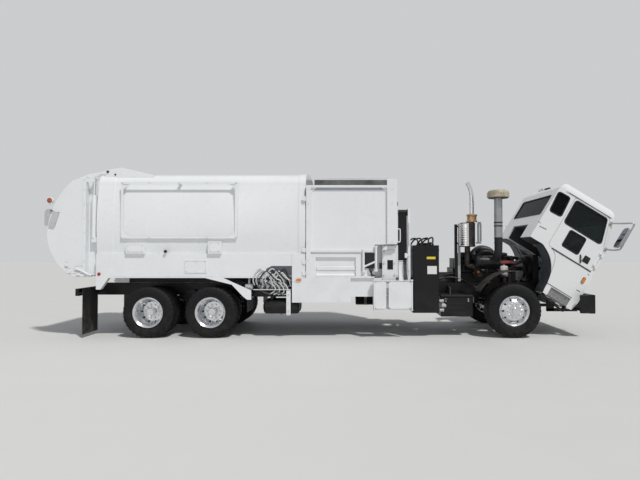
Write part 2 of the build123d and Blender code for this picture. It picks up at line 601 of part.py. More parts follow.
# Each fitting's x, y and z ranges on the left side
fittings = {
    "rear ledge box": ((body_rear + 630, body_rear + 1020), (ledge_y, 1268), (ledge_z + seat, 1968)),
    "front ledge box": ((body_front - 2012, body_front - 1737), (ledge_y, 1268), (ledge_z + seat, 2015)),
    "hatch": ((body_front - 2517, body_front - 2042), (half_width + seat, half_width + 8), (1345, 1630)),
    "front post foot": ((post_back, body_front), (1185, 1225), (740, pan_bottom)),
    "front post face": ((post_back, shell_x[1] - seat), (half_width + seat, 1232), (1175, ledge_z)),
    "valve tray": (tray_x, (1000, 1215), tray_z)}
with BuildPart() as body_fittings:
    for flip in (1, -1):
        lip_y = (rear_fender_y[1] - lip_t, rear_fender_y[1])
        for outline, (y0, y1) in ((fender_strip, rear_fender_y), (fender_lip, lip_y)):
            with BuildSketch(side(max(flip * y0, flip * y1))):
                with BuildLine():
                    Polyline(*outline, close=True)
                make_face()
            extrude(amount=y1 - y0)
        for x, y, z in fittings.values():
            block(x, sorted((flip * y[0], flip * y[1])), z)
        for x in (tray_x[0] + tray_hanger_in, tray_x[1] - tray_hanger_in):
            block((x - 20, x + 20), sorted((flip * 1100, flip * 1140)), (tray_z[0], pan_bottom))
    with BuildSketch(across(shell_x[0])):
        with BuildLine():
            barrel_outline(seat, floor_z)
        make_face()
    extrude(amount=shell_x[1] - shell_x[0], mode=Mode.SUBTRACT)
body_fittings.part.label = "body_fittings"
export_step(body_fittings.part, "parts/body_fittings.step")

gate_front = body_rear - 230


def tail_outline():
    """Side profile of the tailgate, flat in front and bowed behind."""
    top, rear, low = (body_rear - 517, 3282), (body_rear - 1035, 2150), (body_rear - 532, 1311)
    Polyline(low, (body_rear - 290, 1270), (gate_front, 1270), (gate_front, 3370), top)
    ThreePointArc(top, (body_rear - 845, 2860), rear)
    ThreePointArc(rear, (body_rear - 920, 1730), low)


# Tailgate: bowed shell, open in front, with its neck and hinge arms
neck_half, neck_z = 1088, (1300, 3300)
ear_x, ear_z = body_rear - 90, gate_pin_z - 193
with BuildPart() as tailgate_shell:
    with BuildSketch(side(half_width)):
        with BuildLine():
            tail_outline()
        make_face()
    extrude(amount=2 * half_width)
    with BuildSketch(side(half_width - wall)):
        with BuildLine():
            tail_outline()
        make_face()
        offset(amount=-wall, mode=Mode.REPLACE)
    extrude(amount=2 * (half_width - wall), mode=Mode.SUBTRACT)
    block((gate_front - wall - 5, body_rear - 6), (-neck_half, neck_half), neck_z)
    with Locations(((gate_front + body_rear) / 2, 0, (neck_z[0] + neck_z[1]) / 2)):
        Box(400, 2 * (neck_half - wall), neck_z[1] - neck_z[0] - 2 * wall, mode=Mode.SUBTRACT)
    for flip in (1, -1):
        arm = sorted((flip * 972, flip * 1018))
        with BuildSketch(side(arm[1])):
            with BuildLine():
                Polyline((gate_pin_x, gate_pin_z + 38), (gate_front - 30, 3452), (body_rear - 470, 3372),
                         (body_rear - 470, 3280), (gate_front, 3345), (body_rear - 10, gate_pin_z - 42),
                         (gate_pin_x, gate_pin_z - 38), close=True)
            make_face()
        extrude(amount=arm[1] - arm[0])
        with Locations(Location((gate_pin_x, (arm[0] + arm[1]) / 2, gate_pin_z), (90, 0, 0))):
            Cylinder(38, arm[1] - arm[0])
            Cylinder(gate_pin_r + shaft_gap, 80, mode=Mode.SUBTRACT)
        block((gate_front - 20, ear_x + 30), sorted((flip * 1188, flip * 1218)), (ear_z - 45, ear_z + 30))
tailgate_shell.part.label = "tailgate_shell"
export_step(tailgate_shell.part, "parts/tailgate_shell.step")

# Lamp housings and beacons high on the tailgate's corners
beacon_x, beacon_y, beacon_z, beacon_r = body_rear - 1030, 1150, 2880, 42
with BuildPart() as tailgate_lamps:
    for flip in (1, -1):
        block((body_rear - 1130, body_rear - 820), sorted((flip * 1010, flip * 1212)), (2310, 2700))
    with BuildSketch(side(half_width)):
        with BuildLine():
            tail_outline()
        make_face()
        offset(amount=seat, mode=Mode.REPLACE)
    extrude(amount=2 * half_width, mode=Mode.SUBTRACT)
    for flip in (1, -1):
        with Locations((beacon_x, flip * beacon_y, beacon_z - 105)):
            Cylinder(9, 160)
        with Locations((beacon_x, flip * beacon_y, beacon_z)):
            Sphere(beacon_r)
tailgate_lamps.part.label = "tailgate_lamps"
export_step(tailgate_lamps.part, "parts/tailgate_lamps.step")

# Tailgate lift cylinders: barrels pinned to the rear frame, rods that rise with the tailgate
ram_x, ram_y, ram_r, rod_r = ear_x, 1152, 48, 26
ram_z = (2080, 2980)
with BuildPart() as tailgate_barrels:
    for flip in (1, -1):
        with Locations((ram_x, flip * ram_y, (ram_z[0] + ram_z[1]) / 2)):
            Cylinder(ram_r, ram_z[1] - ram_z[0])
        block((ram_x - 35, body_rear - seat), sorted((flip * (ram_y - 35), flip * (ram_y + 35))),
              (ram_z[0] - 90, ram_z[0] + 20))
        with Locations((ram_x, flip * ram_y, ram_z[1] + 20)):
            Cylinder(rod_r + shaft_gap, 2 * (ram_z[1] - ram_z[0]) - 60, mode=Mode.SUBTRACT)
tailgate_barrels.part.label = "tailgate_barrels"
export_step(tailgate_barrels.part, "parts/tailgate_barrels.step")

with BuildPart() as tailgate_rods:
    for flip in (1, -1):
        with Locations((ram_x, flip * ram_y, (2300 + ear_z) / 2)):
            Cylinder(rod_r, ear_z - 2300)
        with Locations(Location((ram_x, flip * ram_y, ear_z), (90, 0, 0))):
            Cylinder(42, 50)
            Cylinder(18, 60, mode=Mode.SUBTRACT)
tailgate_rods.part.label = "tailgate_rods"
export_step(tailgate_rods.part, "parts/tailgate_rods.step")

# Hopper: open trough with its floor, side walls, front wall and the pocket for the lift
hopper_y, hopper_floor_t = 1180, 40
lift_cut_l = 700            # gap in the bearers for the lift
wall_top = {-1: 3160, 1: 3690}
pocket_x, pocket_y, pocket_top, pocket_t = x_at(-2910), -950, 1945, 12
hopper_x = (hopper_rear, hopper_front)
with BuildPart() as hopper_shell:
    block(hopper_x, (-hopper_y, hopper_y), (floor_z, floor_z + hopper_floor_t))
    for flip, top in wall_top.items():
        block(hopper_x, sorted((flip * (hopper_y - wall), flip * hopper_y)), (floor_z, top))
        block(hopper_x, sorted((flip * (rail_y - 80), flip * rail_y)), (rail_top + seat, floor_z))
    block((hopper_front - wall, hopper_front), (-hopper_y, hopper_y), (floor_z, wall_top[-1]))
    with Locations(((pocket_x + hopper_front) / 2, (pocket_y - hopper_y) / 2, (floor_z + pocket_top) / 2)):
        Box(hopper_front - pocket_x, hopper_y + pocket_y, pocket_top - floor_z, mode=Mode.SUBTRACT)
    pocket_back = pocket_x - pocket_t
    pocket_in, pocket_over = pocket_y + pocket_t, pocket_top + pocket_t
    block((pocket_back, hopper_front), (pocket_y, pocket_in), (floor_z, pocket_over))
    block((pocket_back, hopper_front), (-hopper_y, pocket_in), (pocket_top, pocket_over))
    block((pocket_back, pocket_x), (-hopper_y, pocket_in), (floor_z, pocket_over))
    with Locations((x_at(-2380), 0, (rail_top + floor_z) / 2)):
        Box(lift_cut_l, 2 * rail_y + 10, floor_z - rail_top, mode=Mode.SUBTRACT)
hopper_shell.part.label = "hopper_shell"
export_step(hopper_shell.part, "parts/hopper_shell.step")

# Frame that stands proud of the hopper's sides, and the skirts on their outriggers below it.
# Each member's x range from the front axle, then its z range.
skirt_x, skirt_z = (x_at(-4353), x_at(-3410)), (740, floor_z - seat)
frame_members = {
    "rear post": (-4340, -4240, 1250, 3185), "front post": (-2650, -2440, 1957, 3320),
    "top rail": (-4340, -2440, 3136, 3185), "middle rail": (-4340, -2950, 1790, 1834),
    "base top": (-4340, -3200, 1680, 1747), "base front": (-3305, -3200, 1250, 1747),
    "base rear": (-4240, -4135, 1250, 1747), "base sill": (-4240, -2925, 1250, 1290)}
with BuildPart() as hopper_frame:
    for flip in (1, -1):
        for x0, x1, z0, z1 in frame_members.values():
            block((x_at(x0), x_at(x1)), sorted((flip * (hopper_y + seat), flip * half_width)), (z0, z1))
        block(skirt_x, sorted((flip * (half_width - wall), flip * half_width)), skirt_z)
        block((skirt_x[1] - 40, x_at(-2765)), sorted((flip * (hopper_y - wall), flip * hopper_y)),
              (860, skirt_z[1]))
        block((skirt_x[1] - 40, skirt_x[1]), sorted((flip * (hopper_y - wall), flip * half_width)), skirt_z)
        for x in (skirt_x[0] + 120, skirt_x[1] - 90):
            block((x - 40, x + 40), sorted((flip * (rail_y + seat), flip * (half_width - 10))), (940, 1040))
hopper_frame.part.label = "hopper_frame"
export_step(hopper_frame.part, "parts/hopper_frame.step")

# Packer blade with its shoes on the hopper floor and its follower plate on top
blade_x, blade_t, blade_y, blade_top = x_at(-2932), 110, 1140, 2440
deck_z = floor_z + hopper_floor_t
with BuildPart() as packer_blade:
    block((blade_x - blade_t, blade_x), (-blade_y, blade_y), (deck_z + swing_gap, blade_top))
    block((blade_x - blade_t, hopper_front - wall - swing_gap), (-blade_y, blade_y),
          (blade_top - 30, blade_top))
    for flip in (1, -1):
        block((blade_x - blade_t - 160, blade_x), sorted((flip * (blade_y - 220), flip * (blade_y - 90))),
              (deck_z + seat, deck_z + 60))
        block((blade_x - 10, hopper_front - wall - 60), sorted((flip * 520, flip * 560)), (1900, blade_top))
packer_blade.part.label = "packer_blade"
export_step(packer_blade.part, "parts/packer_blade.step")

# Lift: a box beam across the rails guides a boom that reaches out to the right
boom_x, boom_z, boom_y = (x_at(-2600), x_at(-2160)), (1121, 1225), (-1020, 950)
guide_t, guide_y = 20, (-980, 1000)
head_x, head_y, head_z = (x_at(-2745), x_at(-2455)), (-1100, -1010), (1105, 1930)
mast_x, mast_y, mast_z = (x_at(-2212), x_at(-2160)), (-1160, -980), (1121, 2700)
swing_y, swing_z, swing_r, pin_end_x = -1080, 2620, 25, x_at(-2402)
with BuildPart() as lift_base:
    block((boom_x[0] - guide_t, boom_x[1] + guide_t), guide_y, (rail_top + seat, boom_z[0] - seat))
    for x in (boom_x[0] - guide_t, boom_x[1] + swing_gap):
        block((x, x + guide_t - swing_gap), guide_y, (rail_top + seat, boom_z[1] + 20))
    block((boom_x[0] - guide_t, boom_x[1] + guide_t), guide_y, (boom_z[1] + swing_gap, boom_z[1] + 20))
lift_base.part.label = "lift_base"
export_step(lift_base.part, "parts/lift_base.step")

with BuildPart() as lift_slide:
    block(boom_x, boom_y, boom_z)
    block(head_x, head_y, head_z)
    block(mast_x, (mast_y[0], boom_y[0] + 40), mast_z)
    block(mast_x, mast_y, (boom_z[1] + 40, mast_z[1]))
    with Locations(Location(((mast_x[0] + pin_end_x) / 2, swing_y, swing_z), (0, 90, 0))):
        Cylinder(swing_r, mast_x[0] - pin_end_x + 40)
lift_slide.part.label = "lift_slide"
export_step(lift_slide.part, "parts/lift_slide.step")

# Arm that hangs from the mast's pin, drawn in y and z
arm_span, arm_boss_r = (x_at(-2410), x_at(-2232)), 62
grip_y, grip_t = -1235, 40
with BuildPart() as lift_arm:
    with BuildSketch(across(arm_span[0])):
        with BuildLine():
            Polyline((-1035, swing_z), (-1050, 2400), (-1050, 1300), (-1165, 760), (grip_y + seat, 760),
                     (grip_y + seat, 1180), (-1145, 1450), (-1130, 2400), (-1125, swing_z), close=True)
        make_face()
        with Locations((swing_y, swing_z)):
            Circle(arm_boss_r)
            Circle(swing_r + shaft_gap, mode=Mode.SUBTRACT)
    extrude(amount=arm_span[1] - arm_span[0])
lift_arm.part.label = "lift_arm"
export_step(lift_arm.part, "parts/lift_arm.step")

# Gripper: carrier plate with a hinge post at each end, and two fingers folded over it
grip_x, grip_z = (x_at(-2950), x_at(-2122)), (600, 1200)
finger_y, finger_t, finger_pin_r = -1300, 30, 14
finger_pins = {"front": x_at(-2148), "rear": x_at(-2924)}
finger_l = {"front": 480, "rear": 245}
finger_z = (620, 1180)
with BuildPart() as gripper_base:
    block(grip_x, (grip_y - grip_t, grip_y), grip_z)
    for x in finger_pins.values():
        for z in (grip_z[0] - 14, grip_z[1]):
            block((x - 26, x + 26), (finger_y - 26, grip_y), (z, z + 14))
        with Locations((x, finger_y, (grip_z[0] + grip_z[1]) / 2)):
            Cylinder(finger_pin_r, grip_z[1] - grip_z[0] + 10)
gripper_base.part.label = "gripper_base"
export_step(gripper_base.part, "parts/gripper_base.step")

for name, x in finger_pins.items():
    toward = -1 if name == "front" else 1
    with BuildPart() as finger:
        block(sorted((x, x + toward * finger_l[name])),
              (finger_y - finger_t / 2, finger_y + finger_t / 2 - swing_gap), finger_z)
        with Locations((x, finger_y, (finger_z[0] + finger_z[1]) / 2)):
            Cylinder(20, finger_z[1] - finger_z[0])
            Cylinder(finger_pin_r + shaft_gap, 700, mode=Mode.SUBTRACT)
    finger.part.label = f"finger_{name}"
    export_step(finger.part, f"parts/finger_{name}.step")

# Cab, drawn as if lowered and turned about its tilt pin at the end
cab_floor_z, gutter_z, eave_cab_z, cab_crown_z = 1466, 2700, 2700, 2945
cab_rear_x = x_at(-70)
face_top, face_mid, face_low = (x_at(1250), 2676), (x_at(1352), 2390), (x_at(1480), 1910)
roof_line_z = 2915


def cab_solid(inset):
    """The cab above its floor as one closed solid, its skin moved inward by inset."""
    with BuildPart() as solid:
        with BuildSketch(side(cab_half)):
            with BuildLine():
                Polyline((cab_rear_x, 2690), (cab_rear_x, cab_floor_z), (x_at(1478), cab_floor_z),
                         (x_at(1468), 1600), face_low)
                ThreePointArc(face_low, face_mid, face_top)
                ThreePointArc(face_top, (x_at(1180), 2850), (x_at(1000), roof_line_z))
                Line((x_at(1000), roof_line_z), (x_at(220), roof_line_z))
                ThreePointArc((x_at(220), roof_line_z), (x_at(20), 2840), (cab_rear_x, 2690))
            make_face()
            if inset:
                offset(amount=-inset, mode=Mode.REPLACE)
        extrude(amount=2 * cab_half)
        with BuildSketch(across(x_at(-200))):
            with BuildLine():
                Polyline((-cab_half, eave_cab_z), (-cab_half, 500), (cab_half, 500), (cab_half, eave_cab_z))
                ThreePointArc((cab_half, eave_cab_z), (1012, 2830), (860, 2900))
                ThreePointArc((860, 2900), (0, cab_crown_z), (-860, 2900))
                ThreePointArc((-860, 2900), (-1012, 2830), (-cab_half, eave_cab_z))
            make_face()
            if inset:
                offset(amount=-inset, mode=Mode.REPLACE)
        extrude(amount=1900, mode=Mode.INTERSECT)
    return solid.part


def door_outline():
    """Outline of a door in x and z, in the line block that is open."""
    FilletPolyline((x_at(345), 1515), (x_at(330), 2690), (x_at(1165), 2690), (x_at(1420), 1950),
                   (x_at(1430), 1515), radius=60, close=True)


# The door's main window and the peep window below it: corners in x and z, and their radius
door_panes = {
    "window": ([(x_at(383), 2094), (x_at(365), 2645), (x_at(1135), 2645), (x_at(1300), 2094)], 70),
    "peep window": ([(x_at(593), 1655), (x_at(585), 2040), (x_at(975), 2045), (x_at(985), 1655)], 50)}


def quarter_pane():
    FilletPolyline((x_at(-5), 2150), (x_at(-45), 2610), (x_at(235), 2620), (x_at(275), 2165),
                   radius=60, close=True)


cab_room = cab_solid(cab_wall)
screen_half, screen_z = 935, (2010, 2620)
rear_window_half, rear_window_z = 850, (2050, 2530)
tunnel_half, tunnel_top, tunnel_front, tunnel_t = 480, 1810, x_at(1280), 20
step_y, step_wall, apron_bottom_z = (620, 1060), 18, 597
hinge_x, hinge_y, hinge_pin_r, hinge_z = x_at(1420), 1076, 8, (1620, 1900)
lug_y, lug_boss_r = (440, 520), 45


def apron_outline():
    """Side outline of the apron and step boxes below the floor, in the line block that is open."""
    Polyline((x_at(226), cab_floor_z), (x_at(1478), cab_floor_z), (x_at(1508), 1254), (x_at(1511), 779),
             (x_at(1467), apron_bottom_z), (x_at(755), apron_bottom_z), (x_at(740), 800))
    ThreePointArc((x_at(740), 800), (x_at(600), 1220), (x_at(226), cab_floor_z))


with BuildPart() as cab_shell:
    add(cab_solid(0))
    add(cab_room, mode=Mode.SUBTRACT)
    with BuildSketch(side(cab_half)):
        with BuildLine():
            apron_outline()
        make_face()
    extrude(amount=2 * cab_half)
    with BuildSketch(side(cab_half - step_wall)):
        with BuildLine():
            apron_outline()
        make_face()
        offset(amount=-step_wall, mode=Mode.REPLACE)
    extrude(amount=2 * (cab_half - step_wall), mode=Mode.SUBTRACT)
    with Locations((x_at(560), 0, 1000)):
        Box(1810, 2 * step_y[0], 932, mode=Mode.SUBTRACT)
    for flip in (1, -1):
        block((x_at(850), x_at(1356)), sorted((flip * 840, flip * cab_half)), (apron_bottom_z, 806))
        with Locations((x_at(1102), flip * 960, 690)):
            Box(475, 210, 200, mode=Mode.SUBTRACT)
    with BuildSketch(side(cab_half + 20)):
        with BuildLine():
            door_outline()
        make_face()
        offset(amount=door_gap)
        with BuildLine():
            quarter_pane()
        make_face()
    extrude(amount=2 * cab_half + 40, mode=Mode.SUBTRACT)
    with BuildSketch(across(x_at(1150))):
        with Locations((0, sum(screen_z) / 2)):
            RectangleRounded(2 * screen_half, screen_z[1] - screen_z[0], 70)
    extrude(amount=500, mode=Mode.SUBTRACT)
    with BuildSketch(across(cab_rear_x - 10)):
        with Locations((0, sum(rear_window_z) / 2)):
            RectangleRounded(2 * rear_window_half, rear_window_z[1] - rear_window_z[0], 60)
        with Locations((0, (cab_floor_z + tunnel_top) / 2 - 5)):
            Rectangle(2 * tunnel_half, tunnel_top - cab_floor_z + 10)
    extrude(amount=cab_wall + 20, mode=Mode.SUBTRACT)
    with Locations(((cab_rear_x + tunnel_front) / 2, 0, cab_floor_z + cab_wall / 2)):
        Box(tunnel_front - cab_rear_x, 2 * tunnel_half, cab_wall + 2, mode=Mode.SUBTRACT)
    split(bisect_by=Plane.XY.offset(gutter_z), keep=Keep.BOTTOM)
    for flip in (1, -1):
        y = sorted((flip * lug_y[0], flip * lug_y[1]))
        block((tilt_pin_x, x_at(1495)), y, (tilt_pin_z - lug_boss_r, tilt_pin_z + lug_boss_r))
        with Locations(Location((tilt_pin_x, sum(y) / 2, tilt_pin_z), (90, 0, 0))):
            Cylinder(lug_boss_r, lug_y[1] - lug_y[0])
            Cylinder(tilt_pin_r + shaft_gap, lug_y[1] - lug_y[0] + 2, mode=Mode.SUBTRACT)
        for z in hinge_z:
            leaf_x, leaf_z = hinge_x + 42, (z - 20, z + 12)
            block((hinge_x - 10, leaf_x), sorted((flip * (hinge_y - 10), flip * (hinge_y + 12))), leaf_z)
            block((leaf_x - 22, leaf_x), sorted((flip * (hinge_y - 26), flip * (hinge_y + 12))), leaf_z)
            with Locations((hinge_x, flip * hinge_y, z + 10)):
                Cylinder(hinge_pin_r, 80)
cab_shell.part.move(TURN)
cab_shell.part.label = "cab_shell"
export_step(cab_shell.part, "parts/cab_shell.step")

# Roof panel with the gutters over the doors
with BuildPart() as cab_roof:
    add(cab_solid(0))
    add(cab_room, mode=Mode.SUBTRACT)
    split(bisect_by=Plane.XY.offset(gutter_z + seat), keep=Keep.TOP)
    for flip in (1, -1):
        block((x_at(90), x_at(1180)), sorted((flip * (cab_half - 20), flip * (cab_half + 16))),
              (gutter_z + seat, gutter_z + 14))
cab_roof.part.move(TURN)
cab_roof.part.label = "cab_roof"
export_step(cab_roof.part, "parts/cab_roof.step")

# Engine cover inside the cab
with BuildPart() as engine_cover:
    block((cab_rear_x + cab_wall + seat, tunnel_front + tunnel_t),
          (-tunnel_half - tunnel_t, tunnel_half + tunnel_t),
          (cab_floor_z + cab_wall + seat, tunnel_top + tunnel_t))
    with Locations(((cab_rear_x + tunnel_front) / 2, 0, (cab_floor_z + tunnel_top) / 2)):
        Box(tunnel_front - cab_rear_x, 2 * tunnel_half, tunnel_top - cab_floor_z, mode=Mode.SUBTRACT)
engine_cover.part.move(TURN)
engine_cover.part.label = "engine_cover"
export_step(engine_cover.part, "parts/engine_cover.step")

# Glass, cut from one thin skin inside the cab's outer surface
glass_in, glass_t = 14, 6
with BuildPart() as glass_skin:
    add(cab_solid(glass_in))
    add(cab_solid(glass_in + glass_t), mode=Mode.SUBTRACT)

with BuildPart() as windscreen:
    with BuildSketch(across(x_at(1150))):
        with Locations((0, sum(screen_z) / 2)):
            RectangleRounded(2 * (screen_half - seat), screen_z[1] - screen_z[0] - 2 * seat, 70 - seat)
    extrude(amount=500)
    add(glass_skin.part, mode=Mode.INTERSECT)
windscreen.part.move(TURN)
windscreen.part.label = "windscreen"
export_step(windscreen.part, "parts/windscreen.step")

with BuildPart() as cab_glass:
    with BuildSketch(side(cab_half)):
        with BuildLine():
            quarter_pane()
        make_face()
        offset(amount=-seat, mode=Mode.REPLACE)
    extrude(amount=2 * cab_half)
    with BuildSketch(across(cab_rear_x)):
        with Locations((0, sum(rear_window_z) / 2)):
            RectangleRounded(2 * (rear_window_half - seat), rear_window_z[1] - rear_window_z[0] - 2 * seat,
                             60 - seat)
    extrude(amount=cab_wall)
    add(glass_skin.part, mode=Mode.INTERSECT)
cab_glass.part.move(TURN)
cab_glass.part.label = "cab_glass"
export_step(cab_glass.part, "parts/cab_glass.step")

# Doors with their window holes and hinge lugs, and their glass
door_t = 50
for name, flip in front_wheels.items():
    with BuildPart() as door:
        with BuildSketch(side(max(flip * (cab_half - door_t), flip * cab_half))):
            with BuildLine():
                door_outline()
            make_face()
            for corners, radius in door_panes.values():
                with BuildLine():
                    FilletPolyline(*corners, radius=radius, close=True)
                make_face(mode=Mode.SUBTRACT)
        extrude(amount=door_t)
        for z in hinge_z:
            block((hinge_x - 60, hinge_x), sorted((flip * (hinge_y - 26), flip * (hinge_y + 10))),
                  (z + 16, z + 46))
            with Locations((hinge_x, flip * hinge_y, z + 31)):
                Cylinder(12, 30)
                Cylinder(hinge_pin_r + shaft_gap, 40, mode=Mode.SUBTRACT)
    door.part.move(TURN)
    door.part.label = f"door_{name}"
    export_step(door.part, f"parts/door_{name}.step")

    with BuildPart() as pane:
        with BuildSketch(side(max(flip * (cab_half - glass_in - glass_t), flip * (cab_half - glass_in)))):
            for corners, radius in door_panes.values():
                with BuildLine():
                    FilletPolyline(*corners, radius=radius, close=True)
                make_face()
            offset(amount=-seat, mode=Mode.REPLACE)
        extrude(amount=glass_t)
    pane.part.move(TURN)
    pane.part.label = f"door_glass_{name}"
    export_step(pane.part, f"parts/door_glass_{name}.step")

# Seats: pedestals, and the cushions that stand on them
seat_middle, seat_half = 750, 215
cushion_x, cushion_z, back_x, back_top = (x_at(330), x_at(840)), (1700, 1830), (x_at(190), x_at(330)), 2440
with BuildPart() as seat_bases:
    for flip in (1, -1):
        block((cushion_x[0] + 60, cushion_x[1] - 80), (flip * seat_middle - 160, flip * seat_middle + 160),
              (cab_floor_z + cab_wall + seat, cushion_z[0] - seat))
seat_bases.part.move(TURN)
seat_bases.part.label = "seat_bases"
export_step(seat_bases.part, "parts/seat_bases.step")

with BuildPart() as seat_cushions:
    for flip in (1, -1):
        y = (flip * seat_middle - seat_half, flip * seat_middle + seat_half)
        block((back_x[0], cushion_x[1]), y, cushion_z)
        block(back_x, y, (cushion_z[0], back_top))
seat_cushions.part.move(TURN)
seat_cushions.part.label = "seat_cushions"
export_step(seat_cushions.part, "parts/seat_cushions.step")

# Dashboard on the engine cover, with the steering column and wheel at the left
dash_x, dash_half, dash_z = (x_at(1120), x_at(1415)), 985, (tunnel_top + tunnel_t + seat, 2000)
wheel_x, wheel_y, wheel_z, wheel_r, wheel_tilt = x_at(1000), 700, 2120, 215, 25
with BuildPart() as dashboard:
    block(dash_x, (-dash_half, dash_half), dash_z)
    with Locations(Location((wheel_x, wheel_y, wheel_z), (0, -wheel_tilt, 0))):
        Torus(wheel_r, 15)
        Cylinder(50, 40)
        Box(2 * wheel_r, 30, 16)
    with Locations(Location((x_at(1075), wheel_y, 1995), (0, -wheel_tilt - 8, 0))):
        Cylinder(28, 300)
dashboard.part.move(TURN)
dashboard.part.label = "dashboard"
export_step(dashboard.part, "parts/dashboard.step")

# Grille panel and headlamps on the cab's apron
with BuildPart() as cab_front:
    with BuildSketch(side(760)):
        with BuildLine():
            Polyline((x_at(1510), 1010), (x_at(1508.5), 1254), (x_at(1474), 1560), (x_at(1494), 1560),
                     (x_at(1526), 1254), (x_at(1526), 1010), close=True)
        make_face()
    extrude(amount=2 * 760)
    for flip in (1, -1):
        block((x_at(1511.3), x_at(1526)), sorted((flip * 755, flip * 960)), (1020, 1190))
cab_front.part.move(TURN)
cab_front.part.label = "cab_front"
export_step(cab_front.part, "parts/cab_front.step")


def rod(start, end, radius):
    """A round bar between two points, in the block that is open."""
    span = Vector(*end) - Vector(*start)
    with Locations(Plane(origin=start, z_dir=span)):
        Cylinder(radius, span.length, align=(Align.CENTER, Align.CENTER, Align.MIN))
    with Locations(end):
        Sphere(radius + 2)


# Mirrors on C-shaped brackets at the windscreen posts
mirror_x, mirror_y, mirror_z, mirror_turn = x_at(1523), 1262, 2385, 25
with BuildPart() as mirrors:
    for flip in (1, -1):
        bracket = [(x_at(1215), flip * 1072, 2725), (x_at(1572), flip * 1262, 2790),
                   (x_at(1600), flip * 1262, 2180), (x_at(1425), flip * 1073.3, 2074)]
        for start, end in zip(bracket, bracket[1:]):
            rod(start, end, 13)
        with Locations(Location((mirror_x, flip * mirror_y, mirror_z), (0, 0, flip * mirror_turn))):
            Box(90, 220, 510)
mirrors.part.move(TURN)
mirrors.part.label = "mirrors"
export_step(mirrors.part, "parts/mirrors.step")

# Step treads under the step boxes, low in front, on two hangers
tread_x, tread_y, tread_z, tread_t, hanger_w = (x_at(800), x_at(1350)), (930, 1050), (552, 470), 26, 14
with BuildPart() as steps:
    for flip in (1, -1):
        y = sorted((flip * tread_y[0], flip * tread_y[1]))
        with BuildSketch(side(y[1])):
            with BuildLine():
                Polyline((tread_x[0], tread_z[0]), (tread_x[0], tread_z[0] + tread_t),
                         (tread_x[1], tread_z[1] + tread_t), (tread_x[1], tread_z[1]), close=True)
            make_face()
        extrude(amount=y[1] - y[0])
        for x, z in ((tread_x[0] + hanger_w, tread_z[0]), (tread_x[1] - hanger_w, tread_z[1])):
            block((x - hanger_w, x + hanger_w), y, (z + tread_t / 2, apron_bottom_z - seat))
steps.part.move(TURN)
steps.part.label = "steps"
export_step(steps.part, "parts/steps.step")
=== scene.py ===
"""Looks of the refuse truck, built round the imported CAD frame. Metres, in the frame's own axes."""
import math

import bmesh
import bpy
from mathutils import Matrix, Vector


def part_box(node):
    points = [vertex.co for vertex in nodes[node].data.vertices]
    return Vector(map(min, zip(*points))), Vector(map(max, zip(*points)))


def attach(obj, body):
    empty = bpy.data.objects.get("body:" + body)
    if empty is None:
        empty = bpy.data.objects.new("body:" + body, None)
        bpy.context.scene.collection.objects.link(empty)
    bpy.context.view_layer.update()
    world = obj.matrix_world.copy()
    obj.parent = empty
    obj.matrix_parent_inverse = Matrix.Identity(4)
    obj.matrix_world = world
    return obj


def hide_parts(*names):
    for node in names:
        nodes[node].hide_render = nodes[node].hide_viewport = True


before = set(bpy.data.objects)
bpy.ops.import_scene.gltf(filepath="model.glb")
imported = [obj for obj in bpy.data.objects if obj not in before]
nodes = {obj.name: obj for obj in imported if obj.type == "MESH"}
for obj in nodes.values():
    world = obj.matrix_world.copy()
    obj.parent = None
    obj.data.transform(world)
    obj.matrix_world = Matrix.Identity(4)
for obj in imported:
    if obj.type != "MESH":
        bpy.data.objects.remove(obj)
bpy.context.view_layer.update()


def middle(node):
    """Centre of a node's box."""
    low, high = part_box(node)
    return (low + high) / 2


# Pieces are drawn with x from the front axle, the cab as if lowered, mirrored pairs on the left side
AXLE = Vector((middle("rim_front_right").x, 0, 0))
TILT, TILT_PIN = math.radians(31.5), Matrix.Translation((1.305, 0, 0.984))
CAB = TILT_PIN @ Matrix.Rotation(TILT, 4, "Y") @ TILT_PIN.inverted()
SIDES = {"right": -1, "left": 1}            # the photographed side, then its mirror
OUT, RIGHT, UP, DOWN, AHEAD, BACK = (0, 1, 0), (0, -1, 0), (0, 0, 1), (0, 0, -1), (1, 0, 0), (-1, 0, 0)
BODY_Y = 1.2205                             # side of the load body's and the hopper's posts
PANEL_Y = 1.1805                            # side of the panels set back between the hopper's posts
RAIL_Y = 0.4303                             # outer side of the frame rails


